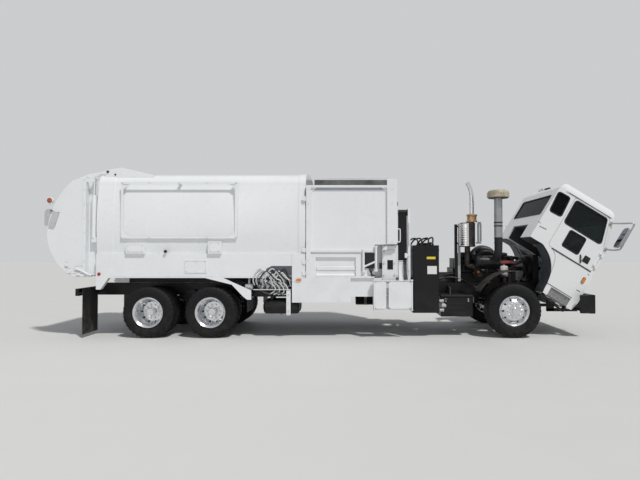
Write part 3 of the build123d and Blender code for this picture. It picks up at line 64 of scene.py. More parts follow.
# Materials
def surface(name, colour, rough, metal=0.0, coat=0.0, vary=0.05, scale=1.5, grain=250, bump=0.05,
            dirt=(0.22, 0.19, 0.16), dirt_share=0.12, low=(0.2, 1.2), rough_vary=0.12,
            transmission=0.0, sheen=0.0, streak=0.0, gloss=0.5, ior=1.45):
    """A finish with patchy colour, fine grain, and dust that gathers low down and on what faces up."""
    made = bpy.data.materials.new(name)
    made.use_nodes = True
    tree = made.node_tree
    add, link = tree.nodes.new, tree.links.new
    shader = tree.nodes["Principled BSDF"]
    for socket, value in (("Metallic", metal), ("Coat Weight", coat), ("Coat Roughness", 0.08),
                          ("Transmission Weight", transmission), ("Sheen Weight", sheen),
                          ("Specular IOR Level", gloss), ("IOR", ior)):
        shader.inputs[socket].default_value = value
    place = add("ShaderNodeTexCoord")

    def noise(size, detail, stretch=None):
        node = add("ShaderNodeTexNoise")
        node.inputs["Scale"].default_value = size
        node.inputs["Detail"].default_value = detail
        source = place.outputs["Object"]
        if stretch:
            mapping = add("ShaderNodeMapping")
            mapping.inputs["Scale"].default_value = stretch
            link(source, mapping.inputs["Vector"])
            source = mapping.outputs["Vector"]
        link(source, node.inputs["Vector"])
        return node.outputs["Fac"]

    def spread(value, low_in, high_in, low_out, high_out):
        node = add("ShaderNodeMapRange")
        for socket, number in zip(("From Min", "From Max", "To Min", "To Max"),
                                  (low_in, high_in, low_out, high_out)):
            node.inputs[socket].default_value = number
        link(value, node.inputs["Value"])
        return node.outputs["Result"]

    def maths(kind, first, second):
        node = add("ShaderNodeMath")
        node.operation = kind
        for socket, value in zip(node.inputs, (first, second)):
            if isinstance(value, (int, float)):
                socket.default_value = value
            else:
                link(value, socket)
        return node.outputs[0]

    def mix(share, first, second):
        node = add("ShaderNodeMix")
        node.data_type = "RGBA"
        link(share, node.inputs["Factor"])
        for socket, value in zip((node.inputs["A"], node.inputs["B"]), (first, second)):
            if isinstance(value, tuple):
                socket.default_value = (*value, 1)
            else:
                link(value, socket)
        return node.outputs["Result"]

    def height_of(output):
        node = add("ShaderNodeSeparateXYZ")
        link(place.outputs[output], node.inputs[0])
        return node.outputs["Z"]

    darker = tuple(c * (1 - vary) for c in colour)
    lighter = tuple(min(1, c * (1 + vary * 0.6)) for c in colour)
    tint = mix(spread(noise(scale, 6), 0.3, 0.7, 0, 1), darker, lighter)
    lowness = spread(height_of("Object"), *low, 1, 0)
    upward = spread(height_of("Normal"), 0.4, 1, 0, 0.7)
    cloud = spread(noise(scale * 3.1, 8), 0.42, 0.68, 0, 1)
    dust = maths("MULTIPLY", maths("ADD", maths("MAXIMUM", lowness, upward), 0.12), cloud)
    if streak:
        runs = spread(noise(2.2, 5, (9, 9, 0.5)), 0.5, 0.75, 0, streak)
        dust = maths("MAXIMUM", dust, runs)
    tint = mix(maths("MULTIPLY", dust, dirt_share), tint, dirt)
    link(tint, shader.inputs["Base Color"])
    uneven = spread(noise(scale * 9, 5), 0.3, 0.7, rough - rough_vary / 2, rough + rough_vary / 2)
    link(maths("ADD", uneven, maths("MULTIPLY", dust, dirt_share * 0.6)), shader.inputs["Roughness"])
    relief = add("ShaderNodeBump")
    relief.inputs["Strength"].default_value = bump
    relief.inputs["Distance"].default_value = 0.002
    link(noise(grain, 4), relief.inputs["Height"])
    link(relief.outputs["Normal"], shader.inputs["Normal"])
    return made


MUD = (0.17, 0.15, 0.13)
white = surface("body_white", (0.83, 0.85, 0.87), 0.30, coat=0.5, vary=0.03, scale=0.9, grain=60, bump=0.06,
                dirt=(0.42, 0.42, 0.40), dirt_share=0.22, low=(0.3, 1.9), streak=0.25)
cab_white = surface("cab_white", (0.83, 0.85, 0.86), 0.22, coat=0.8, vary=0.02, scale=0.8, grain=40,
                    bump=0.03, dirt=(0.45, 0.44, 0.42), dirt_share=0.12)
black = surface("chassis_black", (0.007, 0.007, 0.008), 0.38, coat=0.1, vary=0.4,
                dirt=(0.07, 0.062, 0.055), dirt_share=0.2, low=(0.1, 1.1), grain=180, bump=0.12, gloss=0.3)
greasy = surface("engine_black", (0.010, 0.0095, 0.010), 0.42, metal=0.2, vary=0.6, scale=5,
                 dirt=(0.055, 0.045, 0.036), dirt_share=0.45, low=(0.4, 2.0), grain=120, bump=0.5,
                 gloss=0.4)
rubber = surface("tyre_rubber", (0.009, 0.009, 0.010), 0.62, vary=0.25, scale=4,
                 dirt=(0.075, 0.066, 0.056), dirt_share=0.3, low=(0.0, 0.8), grain=140, bump=0.35,
                 gloss=0.25)
dusty = surface("fender_rubber", (0.030, 0.027, 0.028), 0.55, vary=0.4, scale=3, dirt=(0.15, 0.125, 0.12),
                dirt_share=0.85, low=(0.3, 1.7), grain=120, bump=0.2, gloss=0.3)
flap = surface("flap_rubber", (0.011, 0.011, 0.011), 0.62, vary=0.2, dirt=(0.12, 0.105, 0.09),
               dirt_share=0.5, low=(0.1, 0.8), grain=90, bump=0.2, scale=3)
alloy = surface("wheel_alloy", (0.74, 0.75, 0.77), 0.22, metal=1.0, vary=0.08, scale=8,
                dirt=(0.24, 0.22, 0.20), dirt_share=0.18, low=(0.1, 0.9), grain=300)
steel = surface("bare_steel", (0.46, 0.46, 0.46), 0.34, metal=1.0, vary=0.15, scale=7, dirt=MUD,
                dirt_share=0.2, bump=0.1)
chrome = surface("exhaust_chrome", (0.78, 0.77, 0.75), 0.14, metal=1.0, vary=0.12, scale=6,
                 dirt=(0.36, 0.28, 0.18), dirt_share=0.3, low=(0.4, 2.6), bump=0.03)
rod_chrome = surface("rod_chrome", (0.80, 0.80, 0.80), 0.10, metal=1.0, vary=0.03, dirt_share=0.05,
                     bump=0.01)
duct = surface("intake_metal", (0.36, 0.37, 0.38), 0.42, metal=0.7, vary=0.15, scale=6, dirt_share=0.2,
               bump=0.1)
tan_cap = surface("cap_tan", (0.50, 0.44, 0.34), 0.55, vary=0.3, scale=9, dirt=(0.2, 0.16, 0.11),
                  dirt_share=0.6, low=(2.7, 3.1), bump=0.2)
dark_plastic = surface("cab_trim", (0.045, 0.045, 0.048), 0.55, vary=0.12, scale=6, grain=900, bump=0.25,
                       dirt_share=0.08)
grey_plastic = surface("grey_trim", (0.24, 0.25, 0.26), 0.5, vary=0.1, scale=6, grain=900, bump=0.2,
                       dirt_share=0.1)
cloth = surface("seat_cloth", (0.075, 0.078, 0.085), 0.85, vary=0.25, scale=12, grain=700, bump=0.5,
                sheen=0.3, dirt_share=0.1)
seal = surface("rubber_seal", (0.014, 0.014, 0.015), 0.6, vary=0.15, dirt_share=0.15, bump=0.1)
hose = surface("hose_rubber", (0.020, 0.020, 0.022), 0.45, vary=0.2, scale=9, dirt=MUD, dirt_share=0.35,
               bump=0.15)
glass = surface("glazing", (0.10, 0.125, 0.125), 0.03, dirt_share=0.05, bump=0.0, transmission=0.88,
                rough_vary=0.01, ior=1.18, gloss=0.25)
tinted = surface("tinted_glazing", (0.02, 0.026, 0.026), 0.03, dirt_share=0.03, bump=0.0,
                 transmission=0.7, rough_vary=0.01, ior=1.10, gloss=0.2)
red_lens = surface("lens_red", (0.45, 0.015, 0.01), 0.12, coat=0.6, vary=0.1, grain=120, bump=0.1,
                   transmission=0.2)
amber_lens = surface("lens_amber", (0.85, 0.24, 0.02), 0.14, coat=0.6, vary=0.08, grain=120, bump=0.1,
                     transmission=0.15)
clear_lens = surface("lens_clear", (0.75, 0.78, 0.80), 0.08, coat=0.6, grain=90, bump=0.2,
                     transmission=0.35)
mirror_grey = surface("mirror_grey", (0.55, 0.56, 0.58), 0.35, vary=0.08, dirt_share=0.15, bump=0.06)

# What the nodes wear, by the first words of their names; the rest of the truck is white
PAINTS = {
    "tyre": rubber, "rim": alloy, "frame_rails": black, "front_axle": black, "suspension": black,
    "rear_axles": black, "knuckle": black, "engine_cover": dark_plastic, "engine": greasy,
    "exhaust_stack": chrome, "air_intake": duct, "hydraulic_tank": black, "side_tanks": black,
    "front_bumper": black, "fenders": dusty, "mud_flaps": flap, "cab_shell": cab_white,
    "cab_roof": cab_white, "cab_glass": tinted, "cab_front": grey_plastic, "windscreen": glass,
    "seat_bases": dark_plastic, "seat_cushions": cloth, "dashboard": dark_plastic,
    "mirrors": mirror_grey, "steps": black, "door_glass": glass, "door": cab_white,
    "tailgate_rods": rod_chrome}
for name, node in nodes.items():
    node.data.materials.clear()
    node.data.materials.append(next((PAINTS[word] for word in PAINTS if name.startswith(word)), white))


# Mesh building
class Form:
    """Points and faces of one piece, gathered from boxes, bars, rings and outlines; flip mirrors them."""

    def __init__(self, flip=1):
        self.points, self.faces, self.paints = [], [], []
        self.paint, self.flip = 0, flip

    def add(self, points, faces):
        start = len(self.points)
        self.points += [Vector((x, y * self.flip, z)) for x, y, z in points]
        self.faces += [tuple(start + i for i in face) for face in faces]
        self.paints += [self.paint] * len(faces)

    def loft(self, rings, caps=True, looped=False, whole=True):
        """Skins equal rings of points; looped joins the last to the first, whole closes each ring."""
        count, total = len(rings[0]), len(rings)
        faces = []
        for i in range(total if looped else total - 1):
            near, far = i * count, (i + 1) % total * count
            for j in range(count if whole else count - 1):
                k = (j + 1) % count
                faces.append((near + j, near + k, far + k, far + j))
        if caps and not looped:
            faces += [tuple(reversed(range(count))), tuple(range((total - 1) * count, total * count))]
        self.add([p for ring in rings for p in ring], faces)

    def box(self, x, y, z, edge=0.0):
        """A box between two x, y and z values, its edges cut back by edge."""
        x, y, z = sorted(x), sorted(y), sorted(z)
        e = min(edge, (x[1] - x[0]) * 0.45, (y[1] - y[0]) * 0.45, (z[1] - z[0]) * 0.45)
        if not e:
            self.plate([(x[0], y[0]), (x[1], y[0]), (x[1], y[1]), (x[0], y[1])], "z", *z)
            return

        def ring(inset, pz):
            a, b, c, d = x[0] + inset, x[1] - inset, y[0] + inset, y[1] - inset
            return [(a + e, c, pz), (b - e, c, pz), (b, c + e, pz), (b, d - e, pz),
                    (b - e, d, pz), (a + e, d, pz), (a, d - e, pz), (a, c + e, pz)]
        self.loft([ring(e, z[0]), ring(0, z[0] + e), ring(0, z[1] - e), ring(e, z[1])])

    def plate(self, outline, axis, low, high):
        """An outline pushed along x, y or z: its points are the other two values, in order."""
        at = "xyz".index(axis)
        self.loft([[(*point[:at], level, *point[at:]) for point in outline] for level in (low, high)])

    def turned(self, profile, centre, direction, steps=32):
        """A profile of (radius, along) pairs turned round a line through centre."""
        centre, direction = Vector(centre), Vector(direction).normalized()
        across = direction.orthogonal().normalized()
        up = direction.cross(across)
        rings = [[centre + (across * x + up * y) * r + direction * h for r, h in profile]
                 for x, y in circle(steps, 1)]
        self.loft(rings, looped=True, whole=False)

    def clamp(self, inner, outer, half, centre, direction, steps=40):
        """A band round a pipe or a tank."""
        edge = half - 0.002
        self.turned([(inner, -half), (outer, -edge), (outer, edge), (inner, half)], centre, direction, steps)

    def bar(self, start, end, radius, sides=12, end_radius=None):
        """A straight rod, narrowing to end_radius where that is given."""
        start, end = Vector(start), Vector(end)
        length = (end - start).length
        self.turned([(0, 0), (radius, 0), (end_radius or radius, length), (0, length)], start, end - start,
                    sides)

    def tube(self, route, radius, sides=10, smooth=6):
        """A bent pipe along a smoothed route."""
        path = curve_points([Vector(p) for p in route], smooth)
        rings, normal = [], None
        for i, p in enumerate(path):
            ahead = path[min(i + 1, len(path) - 1)] - path[max(i - 1, 0)]
            ahead.normalize()
            if normal is None:
                normal = ahead.orthogonal().normalized()
            normal = (normal - ahead * normal.dot(ahead)).normalized()
            side = ahead.cross(normal)
            rings.append([p + normal * x + side * y for x, y in circle(sides, radius)])
        self.loft(rings)

    def bolts(self, places, direction, radius=0.011, height=0.008):
        """Hexagon heads on a face, each on its washer."""
        washer = [(0, 0), (radius * 1.3, 0), (radius * 1.3, 0.002)]
        head = [(radius, 0.001), (radius, height), (radius * 0.7, height * 1.15), (0, height * 1.15)]
        for place in places:
            self.turned(washer, place, direction, 12)
            self.turned(head, place, direction, 6)

    def make(self, name, paints, body, slot, angle=35, turn=Matrix(), parts=()):
        """Makes the piece, rides it on its body and hides the nodes that it stands for."""
        data = bpy.data.meshes.new(name)
        data.from_pydata([turn @ p + AXLE for p in self.points], [], self.faces)
        for paint in paints if isinstance(paints, tuple) else (paints,):
            data.materials.append(paint)
        data.polygons.foreach_set("material_index", self.paints)
        made = bpy.data.objects.new(name, data)
        bpy.context.scene.collection.objects.link(made)
        tidy_mesh(data)
        data.shade_smooth()
        data.set_sharp_from_angle(angle=math.radians(angle))
        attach(made, body)
        if parts:
            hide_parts(*parts)
        return made


def tidy_mesh(data):
    """Merges doubled points and turns the faces outward."""
    work = bmesh.new()
    work.from_mesh(data)
    bmesh.ops.remove_doubles(work, verts=work.verts, dist=1e-5)
    bmesh.ops.dissolve_degenerate(work, edges=work.edges, dist=1e-6)
    bmesh.ops.recalc_face_normals(work, faces=work.faces)
    work.to_mesh(data)
    work.free()


def circle(count, radius, start=0.0):
    """Pairs of values evenly round a circle."""
    turns = [start + 2 * math.pi * k / count for k in range(count)]
    return [(radius * math.cos(a), radius * math.sin(a)) for a in turns]


def span(value, half):
    """The two values that lie half to either side of one."""
    return value - half, value + half


def curve_points(route, count):
    """Points on a smooth line through the route's points."""
    if len(route) < 3 or count < 2:
        return route
    ends = [route[0] * 2 - route[1]] + route + [route[-1] * 2 - route[-2]]
    path = []
    for p0, p1, p2, p3 in zip(ends, ends[1:], ends[2:], ends[3:]):
        for k in range(count):
            t = k / count
            path.append(((p1 * 2) + (p2 - p0) * t + (p0 * 2 - p1 * 5 + p2 * 4 - p3) * t * t
                         + (p1 * 3 - p0 - p2 * 3 + p3) * t * t * t) / 2)
    return path + [route[-1]]


def rounded(corners, radius, steps=5):
    """An outline of two values a point, its corners rounded."""
    path, count = [], len(corners)
    for i in range(count):
        before, corner, after = (Vector(corners[j % count]) for j in (i - 1, i, i + 1))
        back, ahead = (before - corner).normalized(), (after - corner).normalized()
        half = math.acos(max(-1, min(1, back.dot(ahead)))) / 2
        reach = min(radius / math.tan(half), (before - corner).length * 0.48, (after - corner).length * 0.48)
        first, last = corner + back * reach, corner + ahead * reach
        for k in range(steps + 1):
            t = k / steps
            path.append(tuple(first * (1 - t) ** 2 + corner * 2 * t * (1 - t) + last * t * t))
    return path


def panel(a, b, radius, steps=5):
    """A rounded rectangle between two values of a and two of b."""
    return rounded([(a[0], b[0]), (a[0], b[1]), (a[1], b[1]), (a[1], b[0])], radius, steps)


def stepped(outline, step):
    """An outline with more points on its upright stretches, to follow a face that bows or bends."""
    fine = []
    for (a0, b0), (a1, b1) in zip(outline, outline[1:] + outline[:1]):
        count = max(1, int(abs(b1 - b0) / step))
        fine += [(a0 + (a1 - a0) * k / count, b0 + (b1 - b0) * k / count) for k in range(count)]
    return fine


def moulding(form, outline, lift, wide, high):
    """A strip along a closed outline; lift turns an outline's two values and a height into a point."""
    section = ((-wide / 2, 0), (-wide / 2, high * 0.7), (-wide / 4, high), (wide / 4, high),
               (wide / 2, high * 0.7), (wide / 2, 0))
    count, rings = len(outline), []
    for i in range(count):
        before, here, after = (Vector(outline[j % count]) for j in (i - 1, i, i + 1))
        ahead = (after - before).normalized()
        side = Vector((ahead.y, -ahead.x))
        rings.append([lift(*(here + side * w), h) for w, h in section])
    form.loft(rings, looped=True)


def arc_x(z, low, mid, high):
    """The x at height z on the arc through three points of x and z that bows forward."""
    (x1, z1), (x2, z2), (x3, z3) = low, mid, high
    d = 2 * (x1 * (z2 - z3) + x2 * (z3 - z1) + x3 * (z1 - z2))
    s1, s2, s3 = x1 * x1 + z1 * z1, x2 * x2 + z2 * z2, x3 * x3 + z3 * z3
    cx = (s1 * (z2 - z3) + s2 * (z3 - z1) + s3 * (z1 - z2)) / d
    cz = (s1 * (x3 - x2) + s2 * (x1 - x3) + s3 * (x2 - x1)) / d
    return cx + math.sqrt((x1 - cx) ** 2 + (z1 - cz) ** 2 - (z - cz) ** 2)


# Wheels
def tyre_profile(centre, radius, width, rim_w):
    """Section of a tyre as (radius, along), from bead to bead over the tread with its four grooves."""
    half, bead, crown = width / 2, rim_w / 2 - 0.012, width / 2 - 0.043
    side = [(0.2865, bead), (0.301, bead + 0.004), (0.316, bead + 0.02), (0.322, bead + 0.018),
            (0.35, half - 0.017), (0.39, half - 0.004), (0.425, half), (0.45, half - 0.001),
            (0.453, half - 0.004), (0.462, half - 0.004), (0.465, half - 0.003),
            (radius - 0.07, half - 0.008), (radius - 0.05, half - 0.015), (radius - 0.03, half - 0.021),
            (radius - 0.012, half - 0.032), (radius - 0.002, crown)]
    for y in (crown * 0.68, crown * 0.24):
        side += [(radius, y + 0.007), (radius - 0.014, y + 0.005), (radius - 0.014, y - 0.005),
                 (radius, y - 0.007)]
    return [(r, centre + y) for r, y in side] + [(r, centre - y) for r, y in reversed(side)]


def tyre(form, hub, centres, radius, width, rim_w, lugs):
    """Tyres round one axle, with cross cuts in their shoulders."""
    for centre in centres:
        profile = tyre_profile(centre, radius, width, rim_w)
        rings = []
        for k, (x, z) in enumerate(circle(lugs * 4, 1)):
            cut = 0.0 if k % 4 else 0.011
            ring = []
            for r, y in profile:
                shoulder = r > radius - 0.035 and abs(y - centre) > width / 2 - 0.085
                reach = r - cut if shoulder else r
                ring.append(hub + Vector((reach * z, y, reach * x)))
            rings.append(ring)
        form.loft(rings, looped=True)


def spots(hub, out, pitch, count, start=0.0):
    """Places evenly round a hub's axis, a way out from its middle."""
    return [hub + Vector((x, out, z)) for x, z in circle(count, pitch, start)]


def disc_face(form, hub, edge, nuts, holes, hole_pitch, hole_r):
    """Ten wheel nuts on their studs, the rim's polished edge and dark discs of painted shade behind ten hand
    holes.
    """
    for place in spots(hub, nuts, 0.143, 10):
        form.turned([(0, 0), (0.021, 0), (0.021, 0.004), (0.017, 0.007)], place, OUT, 16)
        form.turned([(0.0165, 0.005), (0.0165, 0.024), (0.012, 0.032), (0, 0.033)], place, OUT, 6)
    form.turned([(0.288, edge - 0.02), (0.296, edge - 0.004), (0.306, edge + 0.004), (0.314, edge + 0.002),
                 (0.316, edge - 0.004), (0.308, edge - 0.012), (0.296, edge - 0.022)], hub, OUT, 72)
    # dark discs of painted shade in the hand holes
    form.paint = 1
    for place in spots(hub, holes, hole_pitch, 10):
        form.turned([(0, -0.004), (hole_r, -0.004), (hole_r, 0), (0, 0)], place, OUT, 20)


# how far out the hub's middle is; the tyres' middles from it, radius, width, rim's width and lugs round a
# shoulder; how far out the rim's edge, the nuts and the hand holes are, and the holes' pitch and radius
WHEELS = {"front": (1.03, ((0,), 0.5595, 0.414, 0.304, 38), (0.16, 0.166, 0.098, 0.232, 0.0205)),
          "rear": (0.935, ((0.17, -0.17), 0.5295, 0.264, 0.23, 34), (0.293, 0.0135, 0.016, 0.222, 0.0195))}
for place, kind, plural in (("front", "front", ""), ("mid", "rear", "s"), ("rear", "rear", "s")):
    for name, flip in SIDES.items():
        out, tyres, disc = WHEELS[kind]
        hub = middle(f"rim{plural}_{place}_{name}") - AXLE
        hub.y = out
        body = f"wheel{plural}_{place}_{name}"
        form = Form(flip)
        tyre(form, hub, *tyres)
        form.make(f"{place}_tyre{plural}_{name}", rubber, body, "tyre_rubber", 25,
                  parts=(f"tyre{plural}_{place}_{name}",))
        form = Form(flip)
        if kind == "front":
            form.turned([(0.066, 0.205), (0.06, 0.214), (0.03, 0.219), (0, 0.22)], hub, OUT, 32)
            form.bolts(spots(hub, 0.2145, 0.051, 6, math.pi / 6), OUT, 0.006, 0.005)
        else:
            form.turned([(0.09, 0.149), (0.092, 0.152), (0.085, 0.158), (0.072, 0.16)], hub, OUT, 32)
            form.bolts(spots(hub, 0.159, 0.08, 8), OUT, 0.007, 0.008)
        disc_face(form, hub, *disc)
        form.make(f"{place}_nuts_{name}", (alloy, seal), body, "wheel_alloy")

# Cab
CAB_Y = 1.06                                # side of the cab's doors and shell


def on_side(depth=0.0):
    """Places an x and z on the cab's side; height stands out from it."""
    return lambda x, z, h: Vector((x, CAB_Y + depth + h, z))


door_window = rounded([(0.383, 2.094), (0.365, 2.645), (1.135, 2.645), (1.3, 2.094)], 0.07)
peep_window = rounded([(0.593, 1.655), (0.585, 2.04), (0.975, 2.045), (0.985, 1.655)], 0.05)
quarter_window = rounded([(-0.005, 2.15), (-0.045, 2.61), (0.235, 2.62), (0.275, 2.165)], 0.06)
door_edge = rounded([(0.345, 1.515), (0.33, 2.69), (1.165, 2.69), (1.42, 1.95), (1.43, 1.515)], 0.06)

for name, flip in SIDES.items():
    lift = on_side(-0.012)
    form = Form(flip)
    for outline in (door_window, peep_window):
        moulding(form, outline, lift, 0.026, 0.016)
    moulding(form, door_edge, on_side(-0.03), 0.01, 0.024)
    form.make(f"door_seals_{name}", seal, f"door_{name}", "cab_trim", turn=CAB)
    form = Form(flip)
    recess = rounded([(1.118, 1.592), (1.128, 1.742), (1.262, 1.742), (1.268, 1.592)], 0.018)
    form.plate(recess, "y", 1.054, 1.0635)
    form.box((1.14, 1.245), (1.062, 1.072), (1.655, 1.712), 0.006)
    form.bar((1.235, 1.062, 1.62), (1.235, 1.069, 1.62), 0.011, 16)
    form.tube([(1.035, 1.06, 1.69), (1.042, 1.078, 1.676), (1.078, 1.082, 1.618), (1.112, 1.078, 1.56),
               (1.118, 1.06, 1.548)], 0.012)
    form.make(f"door_handle_{name}", seal, f"door_{name}", "cab_trim", turn=CAB)
    # inside of the door: trim panels, armrest, pocket and window winder
    form = Form(flip)
    y0, y1 = 1.0095, 0.998
    for length in ((0.985, 1.36), (0.4, 0.585)):
        form.box(length, (y0, y1), (1.57, 2.05), 0.006)
    form.box((0.46, 1.1), (y0, 0.955), (2.055, 2.085), 0.01)
    form.box((0.6, 0.98), (y0, 0.945), (1.585, 1.64), 0.02)
    form.bar((1.08, y1, 1.8), (1.08, 0.975, 1.8), 0.018)
    form.bar((1.08, 0.975, 1.8), (1.14, 0.97, 1.72), 0.009)
    form.make(f"door_trim_{name}", dark_plastic, f"door_{name}", "cab_trim", turn=CAB)

# seals and mouldings of the shell
form = Form()
for form.flip in SIDES.values():
    moulding(form, quarter_window, on_side(-0.012), 0.026, 0.017)
    form.box((0.44, 1.405), (1.058, 1.069), (1.486, 1.506), 0.004)
    form.box((0.16, 1.2), (1.056, 1.068), (2.69, 2.699), 0.003)
    seam = [(0.5, 1.478), (0.6, 1.38), (0.668, 1.187), (0.738, 0.83)]
    form.tube([(x, 1.0595, z) for x, z in seam], 0.0035, 6)
    form.box((0.742, 1.345), (1.058, 1.065), (0.81, 0.822), 0.003)
    for x, z, w, h in ((0.01, 1.762, 0.045, 0.018), (0.065, 1.769, 0.045, 0.018),
                       (0.12, 1.776, 0.045, 0.018), (-0.06, 1.832, 0.08, 0.008),
                       (1.385, 1.016, 0.085, 0.016), (1.395, 1.42, 0.05, 0.012)):
        form.box(span(x, w / 2), (1.057, 1.0625), span(z, h / 2), 0.002)
rear_window = panel((-0.85, 0.85), (2.05, 2.53), 0.06)
moulding(form, rear_window, lambda y, z, h: Vector((-0.07 + 0.012 - h, y, z)), 0.03, 0.018)
form.make("cab_seals", seal, "cab", "cab_trim", turn=CAB)

# the windscreen's seal follows the bowed face
FACE = ((1.48, 1.91), (1.352, 2.39), (1.25, 2.676))
form = Form()
screen = panel((-0.935, 0.935), (2.01, 2.62), 0.07, 8)
moulding(form, stepped(screen, 0.05),
         lambda y, z, h: Vector((arc_x(z, *FACE) - 0.012 + h * 0.95, y, z + h * 0.28)), 0.034, 0.02)
for y0, y1 in ((-0.14, -0.8), (0.8, 0.14)):
    pivot = (arc_x(1.955, *FACE) + 0.004, y0, 1.955)
    form.turned([(0, 0), (0.028, 0), (0.026, 0.02), (0.012, 0.03), (0, 0.03)], pivot, (1, 0, 0.28), 20)
    middle_y = (y0 + y1) / 2
    form.bar((pivot[0] + 0.022, y0, 1.96), (arc_x(2.07, *FACE) + 0.026, middle_y, 2.075), 0.007, 8)
    form.tube([(arc_x(2.075, *FACE) + 0.016, y, 2.075 + 0.01 * abs(y - middle_y))
               for y in [middle_y - 0.32 + 0.08 * k for k in range(9)]], 0.009, 6, 1)
form.make("screen_seal", seal, "cab", "cab_trim", turn=CAB)

# arch liner with its black lip, and the dark underside behind it
arch = [(0.757, 0.6), (0.741, 0.7), (0.74, 0.8), (0.722, 0.905), (0.69, 1.005), (0.645, 1.105),
        (0.585, 1.203), (0.5, 1.302), (0.4, 1.383), (0.3, 1.437), (0.226, 1.466)]
form = Form()
for form.flip in SIDES.values():
    form.paint = 0
    section = [(x - 0.0045, z - 0.003) for x, z in arch] + [(x - 0.009, z - 0.006)
        for x, z in reversed(arch)]
    form.loft([[(x, y, z) for x, z in section] for y in (1.052, 0.85, 0.645)])
    form.paint = 1
    edge = [(x, 1.056, z) for x, z in arch] + [(0.1, 1.056, 1.464), (-0.065, 1.056, 1.464)]
    form.tube(edge, 0.011, 8, 2)
    form.box((-0.065, 0.225), (0.49, 1.05), (1.459, 1.4655))
    form.paint = 0
    for x, z in arch[2:9:2]:
        form.bolts([(x - 0.012, 0.98, z - 0.006)], (-1, 0, -0.3), 0.009, 0.006)
liner_rubber = surface("liner_rubber", (0.06, 0.075, 0.095), 0.55, vary=0.3, scale=4, dirt_share=0.35,
                       low=(0.4, 3.0), bump=0.2)
form.make("arch_liners", (liner_rubber, seal), "cab", "cab_trim", turn=CAB)

# step plates with their raised grip
speckle = surface("step_plate", (0.33, 0.33, 0.34), 0.5, metal=0.5, vary=0.5, scale=30, grain=90, bump=0.6,
                  dirt_share=0.4, low=(0.3, 3.0))
form = Form()
for form.flip in SIDES.values():
    form.box((0.868, 1.336), (1.02, 1.032), (0.6, 0.786), 0.003)
    for i in range(12):
        for j in range(5):
            x, z = 0.888 + i * 0.039 + (0.019 if j % 2 else 0), 0.616 + j * 0.037
            if x < 1.33:
                form.bar((x, 1.03, z), (x, 1.036, z), 0.008, 8, 0.005)
form.make("step_plates", speckle, "cab", "cab_trim", turn=CAB)

# marker lamps beside the arches and on the roof
form = Form()
for form.flip in SIDES.values():
    form.paint = 0
    lens = panel((1.338, 1.392), (1.195, 1.325), 0.02)
    form.plate(lens, "y", 1.0615, 1.076)
    form.paint = 1
    moulding(form, lens, on_side(0.0015), 0.014, 0.008)
for y in (-0.72, -0.18, 0.0, 0.18, 0.72):
    form.paint = 0
    x, z = 1.115, 2.895 if abs(y) < 0.5 else 2.868
    form.box((x - 0.03, x + 0.045), span(y, 0.05), (z - 0.03, z + 0.032), 0.014)
    form.paint = 1
    form.box((x - 0.045, x + 0.055), span(y, 0.062), (z - 0.035, z + 0.006), 0.006)
form.make("cab_markers", (amber_lens, seal), "cab", "lamp_plastic", turn=CAB)

# mirrors: C brackets and rounded heads with glass facing the rear
mirror_glass = surface("mirror_glass", (0.11, 0.135, 0.18), 0.04, metal=1.0, vary=0.05, dirt_share=0.05,
                       bump=0.0, rough_vary=0.01)
mirror_back = surface("mirror_back", (0.3, 0.31, 0.33), 0.2, coat=0.6, vary=0.1, scale=9, dirt_share=0.1,
                      bump=0.02)
form = Form()
for form.flip in SIDES.values():
    form.paint = 0
    bracket = [(1.245, 1.066, 2.6), (1.285, 1.1, 2.622), (1.42, 1.17, 2.7), (1.545, 1.248, 2.774),
               (1.583, 1.262, 2.76), (1.59, 1.262, 2.68), (1.598, 1.262, 2.35), (1.602, 1.262, 2.22),
               (1.59, 1.25, 2.16), (1.53, 1.18, 2.11), (1.452, 1.09, 2.078), (1.425, 1.066, 2.074)]
    form.tube(bracket, 0.0165, 12, 4)
    for x, z in ((1.245, 2.6), (1.43, 2.074)):
        form.box(span(x, 0.028), (1.055, 1.078), (z - 0.045, z + 0.03), 0.008)
        form.bolts([(x, 1.078, z - 0.03)], OUT, 0.01, 0.008)
    turn = Matrix.Translation((1.533, 1.232, 2.4)) @ Matrix.Rotation(math.radians(6), 4, "Z")
    for paint, half, tall, levels in ((1, 0.128, 0.235, (-0.034, 0.0068, 0.034)),
                                      (2, 0.116, 0.22, (-0.0385, -0.032))):
        head = Form()
        outline = panel((-half, half), (-tall, tall), 0.09, 7)
        outlines = [outline] * len(levels)
        if paint == 1:
            outlines[-1] = panel(span(0, half - 0.03), span(0, tall - 0.03), 0.08, 7)
        head.loft([[(x, y, z) for y, z in ring] for x, ring in zip(levels, outlines)])
        form.paint = paint
        form.add([turn @ p for p in head.points], head.faces)
    form.paint = 0
    for z in (2.25, 2.52):
        form.bar((1.545, 1.262, z), (1.595, 1.262, z), 0.013)
form.make("mirror_heads", (steel, mirror_back, mirror_glass), "cab", "mirror_plastic", turn=CAB,
          parts=("mirrors",))

# two lamps and a dark horn box on the roof's rear edge
form = Form()
for y in (0.47, 0.59):
    form.turned([(0, 0), (0.03, 0.004), (0.04, 0.03), (0.04, 0.055), (0.033, 0.06), (0, 0.056)],
                (0.085, y, 2.925), BACK, 24)
    form.bar((0.06, y, 2.84), (0.06, y, 2.9), 0.012, 10)
form.paint = 1
form.box((0.06, 0.2), (0.1, 0.38), (2.925, 2.962), 0.012)
for y in (0.16, 0.32):
    form.bar((0.12, y, 2.87), (0.12, y, 2.93), 0.012, 10)
form.make("roof_lamps", (chrome, dark_plastic), "cab", "cab_trim", turn=CAB)

